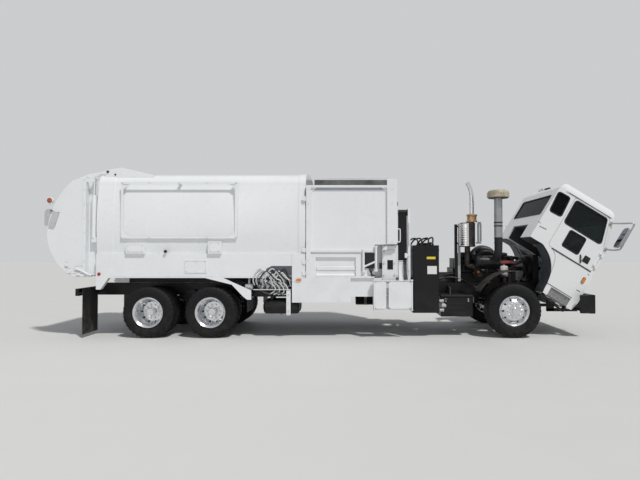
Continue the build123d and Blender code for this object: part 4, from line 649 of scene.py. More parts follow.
# Exhaust, intake and engine
copper = surface("clamp_copper", (0.56, 0.36, 0.22), 0.35, metal=0.9, vary=0.3, scale=14,
                 dirt=(0.25, 0.17, 0.1), dirt_share=0.5, bump=0.15)
rusty = surface("muffler_steel", (0.075, 0.068, 0.064), 0.55, metal=0.5, vary=0.5, scale=7,
                dirt=(0.16, 0.09, 0.05), dirt_share=0.5, bump=0.3)
red_paint = surface("red_part", (0.3, 0.03, 0.035), 0.3, vary=0.5, scale=16, coat=0.3, dirt_share=0.4)
bottle_white = surface("bottle_plastic", (0.72, 0.72, 0.68), 0.4, vary=0.06, scale=8, dirt_share=0.25)
orange_paint = surface("orange_part", (0.8, 0.24, 0.03), 0.4, vary=0.1, scale=12, dirt_share=0.2)
light_grey = surface("light_grey", (0.5, 0.52, 0.53), 0.45, vary=0.1, scale=8, dirt_share=0.2)

MUFFLER = Vector((-0.8, -0.47, 2.17))
PIPE_X, PIPE_Y = -0.7, MUFFLER.y


def shield_section(outer, inner):
    """Outline of the bowed sheet round the muffler's rear half."""
    arc = [math.radians(95 + 170 * k / 30) for k in range(31)]
    return [(r * math.cos(a), r * math.sin(a)) for r, angles in ((outer, arc), (inner, arc[::-1]))
            for a in angles]


form = Form()
form.paint = 1
form.turned([(0, -0.27), (0.15, -0.27), (0.172, -0.262), (0.175, -0.245), (0.17, -0.235), (0.17, 0.235),
             (0.175, 0.245), (0.172, 0.262), (0.15, 0.27), (0, 0.27)], MUFFLER, UP, 48)
form.tube([(-0.8, PIPE_Y, 1.5), (-0.8, PIPE_Y, 1.91)], 0.062, 24)
form.paint = 0
section = shield_section(0.205, 0.198)
rings = []
for z in [1.92 + 0.5 * k / 40 for k in range(41)]:
    wave = 0.0025 * math.cos((z - 1.92) * 2 * math.pi * 20)
    rings.append([(MUFFLER.x + x * (1 + wave / 0.2), PIPE_Y + y * (1 + wave / 0.2), z) for x, y in section])
form.loft(rings)
form.paint = 2
form.turned([(0.052, 0), (0.118, 0.004), (0.122, 0.02), (0.118, 0.035), (0.104, 0.05), (0.104, 0.13),
             (0.118, 0.145), (0.122, 0.16), (0.118, 0.175), (0.06, 0.19), (0.052, 0.19)],
            (PIPE_X, PIPE_Y, 2.448), UP, 40)
for z in (2.466, 2.61):
    form.box((-0.73, -0.67), (PIPE_Y - 0.155, PIPE_Y - 0.105), span(z, 0.012), 0.003)
    form.bolts([(-0.7, PIPE_Y - 0.135, z + 0.012)], UP, 0.009, 0.016)
form.paint = 0
bend = [(PIPE_X, PIPE_Y, z) for z in (2.6, 2.75, 2.88, 3.0)]
for k in range(1, 9):
    a = math.radians(33 * k / 8)
    bend.append((PIPE_X - 0.628 * (1 - math.cos(a)), PIPE_Y, 3.0 + 0.628 * math.sin(a)))
form.tube(bend, 0.0495, 32, 2)
form.paint = 3
form.turned([(0, 0), (0.043, 0), (0.043, 0.0015), (0, 0.0015)], bend[-1], (-math.sin(a), 0, math.cos(a)), 32)
form.paint = 0
form.clamp(0.05, 0.056, 0.014, (PIPE_X, PIPE_Y, 2.86), UP, 32)
form.box((-0.715, -0.685), (PIPE_Y - 0.08, PIPE_Y - 0.052), span(2.86, 0.01), 0.002)
band = shield_section(0.2085, 0.2055)
for z in (1.98, 2.36):
    form.loft([[(MUFFLER.x + x, PIPE_Y + y, level) for x, y in band] for level in span(z, 0.014)])
    form.bolts([(MUFFLER.x - 0.208 * math.cos(0.35), PIPE_Y - 0.208 * math.sin(0.35), z)],
               (-math.cos(0.35), -math.sin(0.35), 0), 0.008, 0.01)
# post and brackets
form.paint = 3
form.box((-1.07, -1.01), (-0.415, -0.355), (1.1005, 2.41), 0.006)
for z in (1.98, 2.36):
    form.box((-1.04, -0.8), (-0.462, -0.388), span(z, 0.02), 0.004)
form.paint = 4
form.box((-1.004, -0.944), (-0.424, -0.416), (1.13, 1.95), 0.002)
form.tube([(-0.555, -0.47, 2.0), (-0.556, -0.47, 2.4), (-0.53, -0.47, 2.435), (-0.504, -0.47, 2.4),
           (-0.503, -0.47, 2.02)], 0.021, 12)
form.box((-0.6, -0.49), (-0.48, -0.44), (1.975, 2.01), 0.004)
form.make("exhaust", (chrome, rusty, copper, black, light_grey), "chassis", "exhaust_chrome", 30,
          parts=("exhaust_stack",))

form = Form()
INTAKE = Vector((-0.25, -0.94, 0))
form.turned([(0.08, 2.1), (0.086, 2.102), (0.086, 2.336), (0.0875, 2.338), (0.0875, 2.352), (0.086, 2.354),
             (0.086, 2.41), (0.0875, 2.412), (0.0875, 2.426), (0.086, 2.428), (0.086, 2.97), (0.08, 2.97)],
            INTAKE, UP, 48)
form.paint = 1
form.turned([(0.088, 2.952), (0.15, 2.945), (0.215, 2.95), (0.231, 2.962), (0.232, 2.985), (0.224, 3.01),
             (0.226, 3.03), (0.223, 3.062), (0.205, 3.092), (0.16, 3.112), (0.08, 3.119), (0, 3.12)],
            INTAKE, UP, 56)
for x, y in circle(28, 0.2255):
    form.bar(INTAKE + Vector((x, y, 2.992)), INTAKE + Vector((x, y, 3.055)), 0.004, 6)
form.paint = 2
form.turned([(0.092, 2.945), (0.205, 2.938), (0.205, 2.947), (0.092, 2.953)], INTAKE, UP, 40)
elbow = [(-0.25, -0.94, 2.112), (-0.25, -0.94, 1.95), (-0.25, -0.935, 1.82), (-0.255, -0.9, 1.72),
         (-0.27, -0.84, 1.655), (-0.29, -0.78, 1.62)]
form.tube(elbow, 0.0835, 28, 5)
for z in (2.085, 1.98):
    form.clamp(0.083, 0.091, 0.012, (-0.25, -0.94, z), UP, 40)
for z in (2.345, 2.419):
    form.clamp(0.0855, 0.092, 0.013, (-0.25, -0.94, z), UP, 40)
form.paint = 3
form.turned([(0, 0), (0.12, 0.0), (0.138, 0.006), (0.145, 0.02), (0.145, 0.1), (0.153, 0.104),
             (0.155, 0.112), (0.153, 0.12), (0.145, 0.124), (0.145, 0.27), (0.149, 0.274), (0.149, 0.284),
             (0.145, 0.288), (0.145, 0.49), (0.138, 0.512), (0.12, 0.519), (0.05, 0.5195), (0, 0.5195)],
            (-0.69, -0.74, 1.565), AHEAD, 48)
for y, z in circle(4, 0.15, 0.4):
    form.box(span(-0.578, 0.03), span(-0.74 + y, 0.008), span(1.565 + z, 0.008), 0.002)
form.box((-0.48, -0.42), (-0.77, -0.4305), (1.045, 1.09), 0.004)
form.box((-0.48, -0.42), (-0.77, -0.71), (1.045, 1.44), 0.004)
form.make("intake", (duct, tan_cap, seal, black), "chassis", "intake_metal", 30, parts=("air_intake",))

# things that hang round the engine
form = Form()
for i in range(6):
    x = -0.92 + i * 0.2
    form.box((x, x + 0.165), (-0.165, 0.165), (1.6405, 1.7), 0.02)
    form.bolts([(x + 0.03, -0.14, 1.7), (x + 0.135, 0.14, 1.7), (x + 0.135, -0.14, 1.7),
                (x + 0.03, 0.14, 1.7)], UP, 0.01, 0.01)
    form.tube([(x + 0.08, -0.235, 1.52), (x + 0.08, -0.3, 1.5), (x + 0.07, -0.345, 1.44),
               (x + 0.06, -0.35, 1.36)], 0.03, 12, 4)
    form.bar((x + 0.11, -0.23, 1.6), (x + 0.11, -0.262, 1.6), 0.016, 10)
form.bar((-0.98, -0.345, 1.36), (0.24, -0.345, 1.36), 0.048, 20)
form.bar((-0.98, 0.345, 1.44), (0.24, 0.345, 1.44), 0.05, 20)
form.box((-1.08, 0.31), (-0.334, -0.32), (0.84, 0.9), 0.006)
form.bolts([(-1.04 + 0.12 * i, -0.334, 0.87) for i in range(12)], RIGHT, 0.012, 0.012)
form.paint = 1
turbo = Vector((-0.56, -0.47, 1.3))
form.turned([(0, -0.02), (0.07, -0.02), (0.105, 0), (0.118, 0.035), (0.105, 0.07), (0.075, 0.095),
             (0.06, 0.13), (0.06, 0.16), (0, 0.16)], turbo + Vector((0, 0.03, 0)), RIGHT, 36)
form.tube([turbo + Vector((-0.02, -0.05, 0.09)), turbo + Vector((-0.12, -0.06, 0.16)),
           (-0.78, -0.48, 1.48), (-0.8, -0.47, 1.56)], 0.055, 20, 5)
for x, z in ((0.05, 1.2), (0.16, 1.2)):
    form.turned([(0, 0), (0.05, 0), (0.052, 0.01), (0.052, 0.2), (0.04, 0.225), (0, 0.23)],
                (x, -0.385, z - 0.12), UP, 24)
form.paint = 2
form.turned([(0, 0), (0.075, 0.0), (0.08, 0.02), (0.08, 0.13), (0.07, 0.15), (0, 0.155)],
            (-0.05, -0.44, 1.3), AHEAD, 24)
form.paint = 3
hoses = [((0.14, -0.36, 1.38), (0.24, -0.36, 1.46), (0.42, -0.34, 1.56), (0.62, -0.28, 1.6), 0.032),
         ((0.2, 0.2, 1.62), (0.4, 0.24, 1.66), (0.58, 0.25, 1.62), (0.7, 0.25, 1.6), 0.036),
         ((0.25, 0.1, 0.95), (0.42, 0.16, 0.98), (0.6, 0.26, 1.05), (0.7, 0.3, 1.16), 0.036),
         ((-1.0, -0.2, 1.5), (-0.75, -0.34, 1.62), (-0.42, -0.4, 1.62), (-0.18, -0.36, 1.5), 0.022),
         ((-0.18, -0.36, 1.5), (0.02, -0.38, 1.44), (0.1, -0.42, 1.3), (0.16, -0.4, 1.26), 0.018),
         ((-1.6, -0.36, 1.12), (-1.2, -0.42, 1.22), (-0.9, -0.4, 1.16), (-0.62, -0.41, 1.06), 0.02),
         ((-1.6, -0.33, 1.15), (-1.15, -0.37, 1.3), (-0.85, -0.36, 1.26), (-0.4, -0.36, 1.2), 0.014),
         ((-0.66, -0.52, 1.3), (-0.6, -0.6, 1.4), (-0.52, -0.66, 1.5), (-0.5, -0.72, 1.54), 0.05),
         ((-0.3, -0.34, 1.1), (-0.1, -0.42, 1.02), (0.15, -0.42, 1.0), (0.34, -0.36, 1.1), 0.016),
         ((-0.9, -0.2, 1.7), (-0.6, -0.1, 1.8), (-0.2, -0.06, 1.8), (0.1, -0.12, 1.72), 0.014)]
for *route, radius in hoses:
    form.tube(route, radius, 12, 6)
pipes = [((-0.7, -0.62, 1.7), (-0.66, -0.5, 1.8), (-0.5, -0.36, 1.86), (-0.28, -0.34, 1.84),
          (-0.2, -0.36, 1.76), (-0.17, -0.38, 1.64), (-0.16, -0.4, 1.5), 0.05),
         ((-0.72, -0.3, 1.74), (-0.5, -0.22, 1.9), (-0.28, -0.2, 1.89), (-0.16, -0.24, 1.8),
          (-0.04, -0.3, 1.68), 0.028),
         ((-0.24, -0.7, 1.64), (-0.2, -0.64, 1.74), (-0.17, -0.54, 1.7), (-0.16, -0.47, 1.54),
          (-0.13, -0.42, 1.4), (0.04, -0.4, 1.3), (0.14, -0.385, 1.24), 0.034),
         ((-0.6, -0.56, 1.72), (-0.44, -0.54, 1.8), (-0.3, -0.52, 1.78), (-0.1, -0.5, 1.66), 0.02)]
for *route, radius in pipes:
    form.tube(route, radius, 14, 6)
form.paint = 0
form.box((-0.62, -0.2), (-0.42, -0.2), (1.7, 1.84), 0.03)
form.box((-0.12, 0.12), (-0.38, -0.16), (1.69, 1.775), 0.03)
for x in (-0.55, -0.27):
    form.bar((x, -0.31, 1.84), (x, -0.31, 1.875), 0.028, 16)
form.box((-0.95, -0.66), (-0.36, -0.1), (1.64, 1.78), 0.03)
form.box((0.18, 0.3), (-0.33, 0.25), (1.42, 1.7), 0.03)
form.make("engine_dressing", (greasy, rusty, steel, hose), "chassis", "engine_black")

# a white bottle, a red part and an orange knob beside the engine
form = Form()
form.box((-0.06, 0.12), (-0.455, -0.375), (1.37, 1.475), 0.02)
form.box((0.0, 0.06), (-0.4, -0.3), (1.4, 1.43), 0.004)
form.bar((0.03, -0.415, 1.475), (0.03, -0.415, 1.5), 0.026, 20)
form.paint = 1
form.box((-0.06, 0.3), (-0.455, -0.4), (1.525, 1.59), 0.012)
form.box((0.0, 0.24), (-0.42, -0.28), (1.545, 1.565), 0.003)
form.paint = 2
form.bar((-0.62, -0.7, 1.35), (-0.62, -0.72, 1.35), 0.022, 16)
form.bar((-0.62, -0.7, 1.35), (-0.62, -0.45, 1.35), 0.008, 8)
form.make("engine_bottles", (bottle_white, red_paint, orange_paint), "chassis", "engine_black")

# radiator core, shroud and fan blades
form = Form()
for i in range(44):
    z = 1.125 + i * 0.0128
    form.box((0.7995, 0.806), (-0.36, 0.36), (z, z + 0.005))
form.paint = 1
for y in (-0.385, 0.385):
    form.box((0.695, 0.812), span(y, 0.02), (1.105, 1.7), 0.006)
form.box((0.69, 0.812), (-0.4, 0.4), (1.665, 1.722), 0.014)
form.bar((0.75, 0.3, 1.72), (0.75, 0.3, 1.745), 0.035, 20)
for k in range(7):
    turn = Matrix.Translation((0.565, 0, 1.4)) @ Matrix.Rotation(2 * math.pi * k / 7, 4, "X")
    blade = [[turn @ Vector((x * s, y, r)) for x, y in ((-0.022, -0.035 * w), (-0.018, -0.036 * w),
                                                        (0.026, 0.035 * w), (0.022, 0.036 * w))]
             for r, s, w in ((0.05, 1.2, 0.8), (0.15, 1.0, 1.5), (0.236, 0.8, 1.9))]
    form.loft(blade)
form.make("radiator", (steel, greasy), "chassis", "engine_black")

# Tanks and the valve bays
label_white = surface("plate_white", (0.78, 0.79, 0.78), 0.4, vary=0.03, dirt_share=0.15)
# a blue-grey for painted shade in recesses
deep_shade = surface("painted_recess_shade", (0.1, 0.115, 0.14), 0.6, vary=0.25, scale=5, dirt_share=0.3)
plate_yellow = surface("plate_yellow", (0.8, 0.62, 0.05), 0.4, vary=0.05, dirt_share=0.15)
hose_white = surface("hose_white", (0.66, 0.68, 0.68), 0.45, vary=0.15, scale=9, dirt=MUD, dirt_share=0.4)

form = Form()
form.plate(panel((-2.115, -1.56), (-1.18, -0.45), 0.04, 6), "z", 0.52, 1.93)
for z in (0.62, 1.83):
    form.plate(panel((-2.118, -1.557), (-1.183, -0.447), 0.043, 6), "z", *span(z, 0.022))
form.turned([(0, 0), (0.11, 0), (0.11, 0.018), (0.1, 0.022), (0.1, 0.046), (0.094, 0.05), (0, 0.05)],
            (-1.84, -0.82, 1.93), UP, 36)
form.bolts([(-1.84 + x, -0.82 + y, 1.98) for x, y in circle(6, 0.085)], UP, 0.009, 0.008)
form.turned([(0, 0), (0.034, 0), (0.034, 0.03), (0.045, 0.034), (0.045, 0.066), (0.04, 0.07), (0, 0.07)],
            (-1.7, -0.82, 1.93), UP, 28)
for x in (-2.0, -1.68):
    form.box(span(x, 0.03), (-0.455, -RAIL_Y), (0.86, 1.07), 0.004)
for x in (-1.95, -1.72):
    form.box(span(x, 0.025), (-1.186, -0.444), (1.932, 1.938), 0.002)
form.paint = 1
form.box((-1.81, -1.613), (-1.1825, -1.18), (1.329, 1.496))
form.paint = 2
form.box((-1.822, -1.64), (-1.1825, -1.18), (1.64, 1.69))
form.paint = 3
form.bar((-1.97, -1.1, 0.6), (-1.66, -1.1, 0.6), 0.035, 20)
for x in (-1.93, -1.81, -1.69):
    form.bar((x, -1.1, 0.6), (x, -1.1, 0.53), 0.022, 14)
    form.turned([(0.036, -0.012), (0.042, -0.012), (0.042, 0.012), (0.036, 0.012)], (x, -1.1, 0.6), AHEAD,
                20)
form.make("oil_tank", (black, label_white, plate_yellow, light_grey), "chassis", "tank_metal", 30,
          parts=("hydraulic_tank",))

# fittings and hoses between the tank and the lift
form = Form()
for x, z in ((-1.55, 0.76), (-1.5, 0.66), (-1.545, 0.57)):
    form.bar((x, -1.1, z), (x + 0.09, -1.1, z), 0.03, 18)
    form.turned([(0.03, 0), (0.038, 0.002), (0.038, 0.02), (0.03, 0.022)], (x + 0.06, -1.1, z), AHEAD, 6)
form.bar((-1.56, -1.02, 0.66), (-1.42, -1.02, 0.66), 0.045, 20)
form.paint = 1
for i, (x, y) in enumerate(((-1.98, -0.95), (-1.9, -0.98), (-1.76, -0.99), (-1.66, -0.96))):
    form.turned([(0.024, 0), (0.024, 0.03), (0.018, 0.034)], (x, y, 1.93), UP, 6)
    form.tube([(x, y, 1.955), (x, y, 2.03 + 0.02 * i), (x - 0.06, y + 0.06, 2.08),
               (x - 0.16, y + 0.2, 2.02), (x - 0.24, y + 0.36, 1.8), (x - 0.24, y + 0.46, 1.45),
               (x - 0.2, -0.4, 1.18)], 0.017, 10, 5)
for y, z in ((-1.03, 0.78), (-0.98, 0.7), (-0.93, 0.62)):
    form.tube([(-1.56, y, z), (-1.4, y, z), (-1.3, y + 0.1, z + 0.06), (-1.24, y + 0.3, z + 0.2),
               (-1.22, -0.46, 1.02)], 0.019, 10, 5)
form.make("tank_hoses", (light_grey, hose), "chassis", "tank_metal")

# air tanks, with straps and drain cocks, the fuel tank's straps and filler, and the battery box
AIR_TANKS_Y, AIR_STRAPS_X = (-1.04, -0.72), (-5.07, -4.66)
FUEL_Y, FUEL_Z = 0.79, 0.76
form = Form()
for y in AIR_TANKS_Y:
    form.turned([(0, 0), (0.07, 0.004), (0.12, 0.02), (0.145, 0.045), (0.15, 0.07), (0.15, 0.7),
                 (0.145, 0.725), (0.12, 0.75), (0.07, 0.766), (0, 0.77)], (-5.25, y, 0.64), AHEAD, 40)
    form.bar((-4.87, y, 0.498), (-4.87, y, 0.47), 0.01, 8)
    for x in AIR_STRAPS_X:
        form.clamp(0.15, 0.1535, 0.022, (x, y, 0.64), AHEAD, 40)
for x in AIR_STRAPS_X:
    form.box(span(x, 0.03), (-1.04, -RAIL_Y), (0.84, 0.89), 0.005)
    for y in AIR_TANKS_Y:
        form.box(span(x, 0.03), span(y, 0.04), (0.77, 0.87), 0.005)
form.turned([(0, 0), (0.24, 0.006), (0.278, 0.014), (0.29, 0.035), (0.29, 1.515), (0.278, 1.536),
             (0.24, 1.544), (0, 1.55)], (-3.3, FUEL_Y, FUEL_Z), AHEAD, 64)
form.paint = 1
for x in (-3.05, -2.0):
    form.clamp(0.29, 0.294, 0.035, (x, FUEL_Y, FUEL_Z), AHEAD, 64)
    form.box(span(x, 0.035), (RAIL_Y, FUEL_Y), (0.85, 0.91), 0.004)
form.turned([(0, 0), (0.045, 0), (0.052, 0.01), (0.052, 0.035), (0.045, 0.04), (0, 0.04)],
            (-2.45, 0.98, 0.975), (0, 0.62, 0.78), 24)
form.box((-2.12, -1.92), (1.02, 1.1), (0.48, 0.5), 0.004)
form.paint = 0
form.box((-1.5, -0.82), (-1.02, -RAIL_Y), (0.42, 0.825), 0.008)
form.box((-1.512, -0.808), (-1.032, -RAIL_Y), (0.82, 0.878), 0.012)
for x in (-1.4, -0.92):
    form.box(span(x, 0.022), (-1.0225, -1.0195), (0.46, 0.82))
    form.box(span(x, 0.022), (-1.0, -0.46), (0.8775, 0.8815))
for z in (0.5, 0.6, 0.7):
    form.tube([(-1.34, -1.0198, z), (-0.98, -1.0198, z)], 0.006, 6, 1)
form.paint = 1
for x in (-1.4, -0.92):
    form.box(span(x, 0.014), (-1.0305, -1.0195), (0.75, 0.812), 0.003)
    form.bar((x - 0.02, -1.0285, 0.744), (x + 0.02, -1.0285, 0.744), 0.005, 8)
form.make("tanks", (black, steel), "chassis", "tank_metal", 30, parts=("side_tanks",))

# valves with their hoses on the trays before the rear wheels
form = Form()
for form.flip in SIDES.values():
    form.paint = 0
    form.box((-5.46, -4.62), (0.985, 0.995), (0.84, 1.245))
    form.box((-5.44, -4.64), (0.45, 0.98), (1.19, 1.245), 0.004)
    form.paint = 1
    for i in range(5):
        x = -5.3 + i * 0.115
        form.box((x, x + 0.095), (1.03, 1.14), (1.013, 1.135), 0.008)
        form.bar((x + 0.047, 1.085, 1.13), (x + 0.047, 1.085, 1.185), 0.02, 14)
        form.bar((x + 0.047, 1.14, 1.075), (x + 0.047, 1.165, 1.075), 0.024, 14)
    form.bar((-5.36, 1.085, 1.07), (-4.7, 1.085, 1.07), 0.03, 16)
    form.paint = 2
    for i in range(6):
        x0, drop = -5.34 + i * 0.1, 0.02 * (i % 3)
        form.tube([(x0 + 0.05, 1.165 - drop, 1.07), (x0 + 0.02, 1.19 - drop, 1.04 - drop),
                   (x0 + 0.16, 1.185 - drop, 0.93 - drop), (x0 + 0.42, 1.15 - drop, 0.91 + drop),
                   (min(x0 + 0.6, -4.68), 1.06 - drop, 0.95 + drop)], 0.015, 10, 5)
    form.paint = 3
    for i in range(4):
        x0 = -5.36 + i * 0.09
        form.tube([(x0, 1.12, 1.18), (x0 + 0.06, 1.19, 1.215 - 0.01 * i), (x0 + 0.3, 1.195, 1.13),
                   (x0 + 0.38, 1.19, 1.0 - 0.02 * i), (x0 + 0.25, 1.17, 0.9)], 0.013, 10, 5)
    # hoses that loop up before the sill, over a thin plate of painted shade that stands for its dark cut-out
    form.paint = 5
    cut = rounded([(-5.17, 1.2502), (-5.17, 1.44), (-5.05, 1.5), (-4.6, 1.5), (-4.6, 1.2502)], 0.03)
    form.plate(cut, "y", 1.2203, 1.2225)
    for i in range(9):
        form.paint = 2 if i % 3 == 2 else 3
        x0, top, out = -5.42 + i * 0.062, 1.44 - 0.025 * (i % 4), 1.236 + 0.004 * (i % 3)
        form.tube([(x0, 1.155, 1.1), (x0 - 0.02, 1.215, 1.2), (x0 + 0.03, out, top - 0.1),
                   (x0 + 0.14, out, top), (min(x0 + 0.28, -4.72), out, top - 0.13),
                   (min(x0 + 0.36, -4.66), 1.222, 1.2), (min(x0 + 0.38, -4.65), 1.16, 1.08)], 0.014, 10, 5)
    form.paint = 4
    form.box((-4.75, -4.66), (1.196, 1.212), (0.475, 1.0), 0.004)
    form.box((-4.75, -4.66), (1.15, 1.212), (0.985, 0.9995), 0.004)
    for z in (0.56, 0.72, 0.9):
        form.bolts([(-4.705, 1.212, z)], OUT, 0.012, 0.01)
    form.paint = 1
    form.turned([(0, 0), (0.06, 0.002), (0.068, 0.02), (0.068, 0.14), (0.06, 0.158), (0, 0.16)],
                (-5.62, 1.1, 1.06), AHEAD, 28)
    form.box((-5.56, -5.52), (1.08, 1.12), (1.12, 1.2497), 0.004)
form.make("valve_bay", (black, light_grey, hose, hose_white, white, deep_shade), "chassis", "engine_black")

# Load body: clamps, corner plates, covers, welds, reflectors and lamps
form = Form()
for form.flip in SIDES.values():
    form.paint = 0
    for z in (2.9, 1.83, 1.585, 1.35):
        form.box((-4.42, -4.345), (1.225, 1.245), span(z, 0.045), 0.006)
        form.bar((-4.365, 1.238, z - 0.055), (-4.365, 1.238, z + 0.055), 0.012, 12)
    for x, inward in ((-8.148, 1), (-5.817, -1)):
        for z, up in ((2.112, 1), (3.205, -1)):
            form.plate([(x, z), (x + inward * 0.12, z), (x, z + up * 0.12)], "y", 1.2275, 1.2335)
            form.bolts([(x - inward * 0.021, 1.246, z - up * 0.021)], OUT, 0.012, 0.009)
    for x in (-6.98, -7.6, -6.4):
        form.bolts([(x, 1.246, z) for z in (2.09, 3.227)], OUT, 0.01, 0.008)
    # bolted covers of the two ledge boxes, and the hatch's frame
    for x0, x1, top in ((-8.07, -7.68, 1.968), (-6.365, -6.09, 2.015)):
        form.box((x0 + 0.03, x1 - 0.03), (1.268, 1.273), (1.79, top - 0.03), 0.003)
        form.bolts([(x, 1.273, z) for x in (x0 + 0.05, x1 - 0.05) for z in (1.81, top - 0.05)], OUT, 0.008,
                   0.006)
    outline = panel((-6.85, -6.415), (1.365, 1.61), 0.02)
    moulding(form, outline, lambda x, z, h: Vector((x, 1.228 + h, z)), 0.016, 0.006)
    form.bolts([(x, 1.228, z) for x in (-6.83, -6.63, -6.435) for z in (1.385, 1.59)], OUT, 0.009, 0.006)
    # seams: weld beads where the sill meets the floor and the posts
    for x in (-8.373, -4.502):
        form.tube([(x, 1.2215, 1.27), (x, 1.2215, 1.75)], 0.004, 6, 1)
    form.tube([(-8.37, BODY_Y, 1.292), (-4.505, BODY_Y, 1.292)], 0.004, 6, 1)
    for x in (-8.05, -7.4, -6.55, -5.7, -4.95):
        form.box(span(x, 0.012), (1.1755, 1.222), (1.7575, 1.772), 0.002)
    for x in (-8.1, -7.2, -6.3, -5.4, -4.7):
        form.bolts([(x, BODY_Y, 1.27)], OUT, 0.01, 0.007)
    form.paint = 1
    form.turned([(0, 0), (0.034, 0), (0.034, 0.008), (0.026, 0.014), (0, 0.016)], (-8.638, 1.228, 1.332),
                OUT, 24)
    form.paint = 2
    oval = [(-4.49 + 0.058 * x, 1.21 + 0.026 * z) for x, z in circle(28, 1)]
    form.plate(oval, "y", 1.2322, 1.246)
    form.paint = 3
    form.bar((-7.25, 1.222, 1.8), (-7.25, 1.262, 1.8), 0.022, 16)
    form.bar((-7.25, 1.255, 1.8), (-7.25, 1.268, 1.8), 0.034, 20)
    form.turned([(0, 0), (0.026, 0), (0.026, 0.012), (0.02, 0.018), (0, 0.018)], (-8.56, 1.0605, 3.49),
                OUT, 24)
    form.turned([(0, 0), (0.018, 0), (0.018, 0.012), (0, 0.014)], (-8.4, 1.0605, 3.43), OUT, 20)
    # a black seal strip in the gap to the hopper, its black also painting the gap's shade
    form.box((-4.3535, -4.3405), (1.196, 1.2185), (1.252, 3.12))
form.make("body_hardware", (white, red_lens, amber_lens, seal), "chassis", "body_paint")

# thin black sheets below the floor pans and along the rails, which make the floor's underside black
form = Form()
for form.flip in SIDES.values():
    form.box((-8.37, -4.503), (0.4315, 1.185), (1.2465, 1.2497))
    form.box((-8.37, -4.503), (0.4305, 0.4335), (1.102, 1.2465))
    form.box((-4.34, -2.76), (0.4315, 1.17), (1.2465, 1.2497))
form.make("floor_underside_black", black, "chassis", "chassis_black")

# rear beam: lamps, blank plate, reflectors and mud flap bars
form = Form()
back = -9.17
for form.flip in SIDES.values():
    form.paint = 3
    form.box((back - 0.012, back + 0.002), (0.62, 1.1), (0.882, 1.008), 0.004)
    for y, kind in ((0.7, 0), (0.86, 0), (1.02, 1)):
        form.paint = kind
        form.turned([(0, 0), (0.052, 0), (0.054, 0.008), (0.046, 0.016), (0, 0.02)],
                    (back - 0.012, y, 0.945), BACK, 32)
        form.paint = 3
        form.turned([(0.053, 0), (0.061, 0.002), (0.061, 0.008), (0.053, 0.01)], (back - 0.012, y, 0.945),
                    BACK, 32)
    form.paint = 0
    form.box((back - 0.004, back + 0.002), (0.42, 0.56), (0.9, 0.93), 0.001)
    form.paint = 3
    form.box((-8.996, -8.985), (0.625, 1.21), (0.965, 1.0), 0.003)
    form.bolts([(-8.996, y, 0.982) for y in (0.68, 0.84, 1.0, 1.16)], BACK, 0.009, 0.008)
    form.bolts([(-5.562, y, 0.78) for y in (0.7, 0.85, 1.0, 1.15)], BACK, 0.008, 0.007)
form.paint = 2
form.box((back - 0.005, back + 0.001), (-0.16, 0.16), (0.885, 1.0), 0.002)
form.make("rear_lamps", (red_lens, amber_lens, label_white, black), "chassis", "lamp_plastic")

# Hopper, lift and gripper
form = Form()
for form.flip in SIDES.values():
    form.paint = 0
    # corner plates, bolts and welds of the side frame
    for x, inward in ((-4.24, 1), (-2.65, -1)):
        for z, up in ((3.136, -1), (1.834, 1)):
            corner = [(x, z), (x + inward * 0.11, z), (x, z + up * 0.11)]
            form.plate(corner, "y", PANEL_Y, 1.19)
    levels = (1.32, 1.62, 2.0, 2.4, 2.8, 3.1)
    for x, bolted in ((-4.29, levels), (-2.545, levels[2:])):
        form.bolts([(x, BODY_Y, z) for z in bolted], OUT, 0.01, 0.008)
    for x in (-4.238, -2.655):
        form.tube([(x, PANEL_Y + 0.001, z) for z in (1.84, 3.13)], 0.004, 6, 1)
    form.bolts([(x, BODY_Y, 1.27) for x in (-4.1, -3.8, -3.5, -3.1)], OUT, 0.01, 0.008)
    # the panel in the base frame: a bar across, a bowed plate below, and painted shade on the wall above
    form.box((-4.13, -3.31), (1.16, 1.196), (1.405, 1.49), 0.012)
    bow = [(1.1535, 1.415), (1.158, 1.385), (1.168, 1.355), (1.184, 1.33), (1.206, 1.3), (1.2, 1.292),
           (1.176, 1.32), (1.158, 1.345), (1.1515, 1.38)]
    form.plate(bow, "x", -4.13, -3.31)
    form.paint = 2
    form.box((-4.135, -3.305), (1.1503, 1.1525), (1.4, 1.638))
    # a band of painted shadow under the top rail
    form.box((-4.236, -2.66), (1.1803, 1.1815), (3.085, 3.135))
# bracket and lamp on the right front post's top, and the grab handle
form.paint = 0
form.box((-2.6, -2.46), (-BODY_Y, -1.19), (3.17, 3.315), 0.004)
form.tube([(-2.44, -1.15, 2.27), (-2.39, -1.15, 2.27), (-2.374, -1.15, 2.245), (-2.374, -1.15, 2.03),
           (-2.39, -1.15, 2.0), (-2.44, -1.15, 2.0)], 0.012, 10, 4)
form.paint = 1
form.box((-2.5, -2.438), (-1.19, -1.13), (3.2, 3.26), 0.006)
# a blue-grey white for painted shade
shaded_white = surface("shaded_white", (0.42, 0.45, 0.5), 0.45, vary=0.08, dirt_share=0.2)
form.make("hopper_hardware", (white, seal, shaded_white), "chassis", "body_paint")

# worn steel inside the hopper
form = Form()
form.box((-4.345, -2.475), (1.1465, 1.1497), (1.7, 3.64), 0.001)
form.box((-4.345, -2.475), (-1.1497, -1.1465), (1.96, 3.12), 0.001)
form.box((-2.4735, -2.4705), (-1.14, 1.14), (2.5, 3.12), 0.001)
form.box((-4.345, -3.3), (-0.9, 0.9), (1.2903, 1.2915))
worn_steel = surface("worn_steel", (0.17, 0.18, 0.175), 0.5, metal=0.6, vary=0.5, scale=3, grain=60,
                     dirt=(0.1, 0.075, 0.055), dirt_share=0.4, low=(0.5, 3.4), bump=0.3, streak=0.5)
form.make("hopper_lining", worn_steel, "chassis", "body_paint")

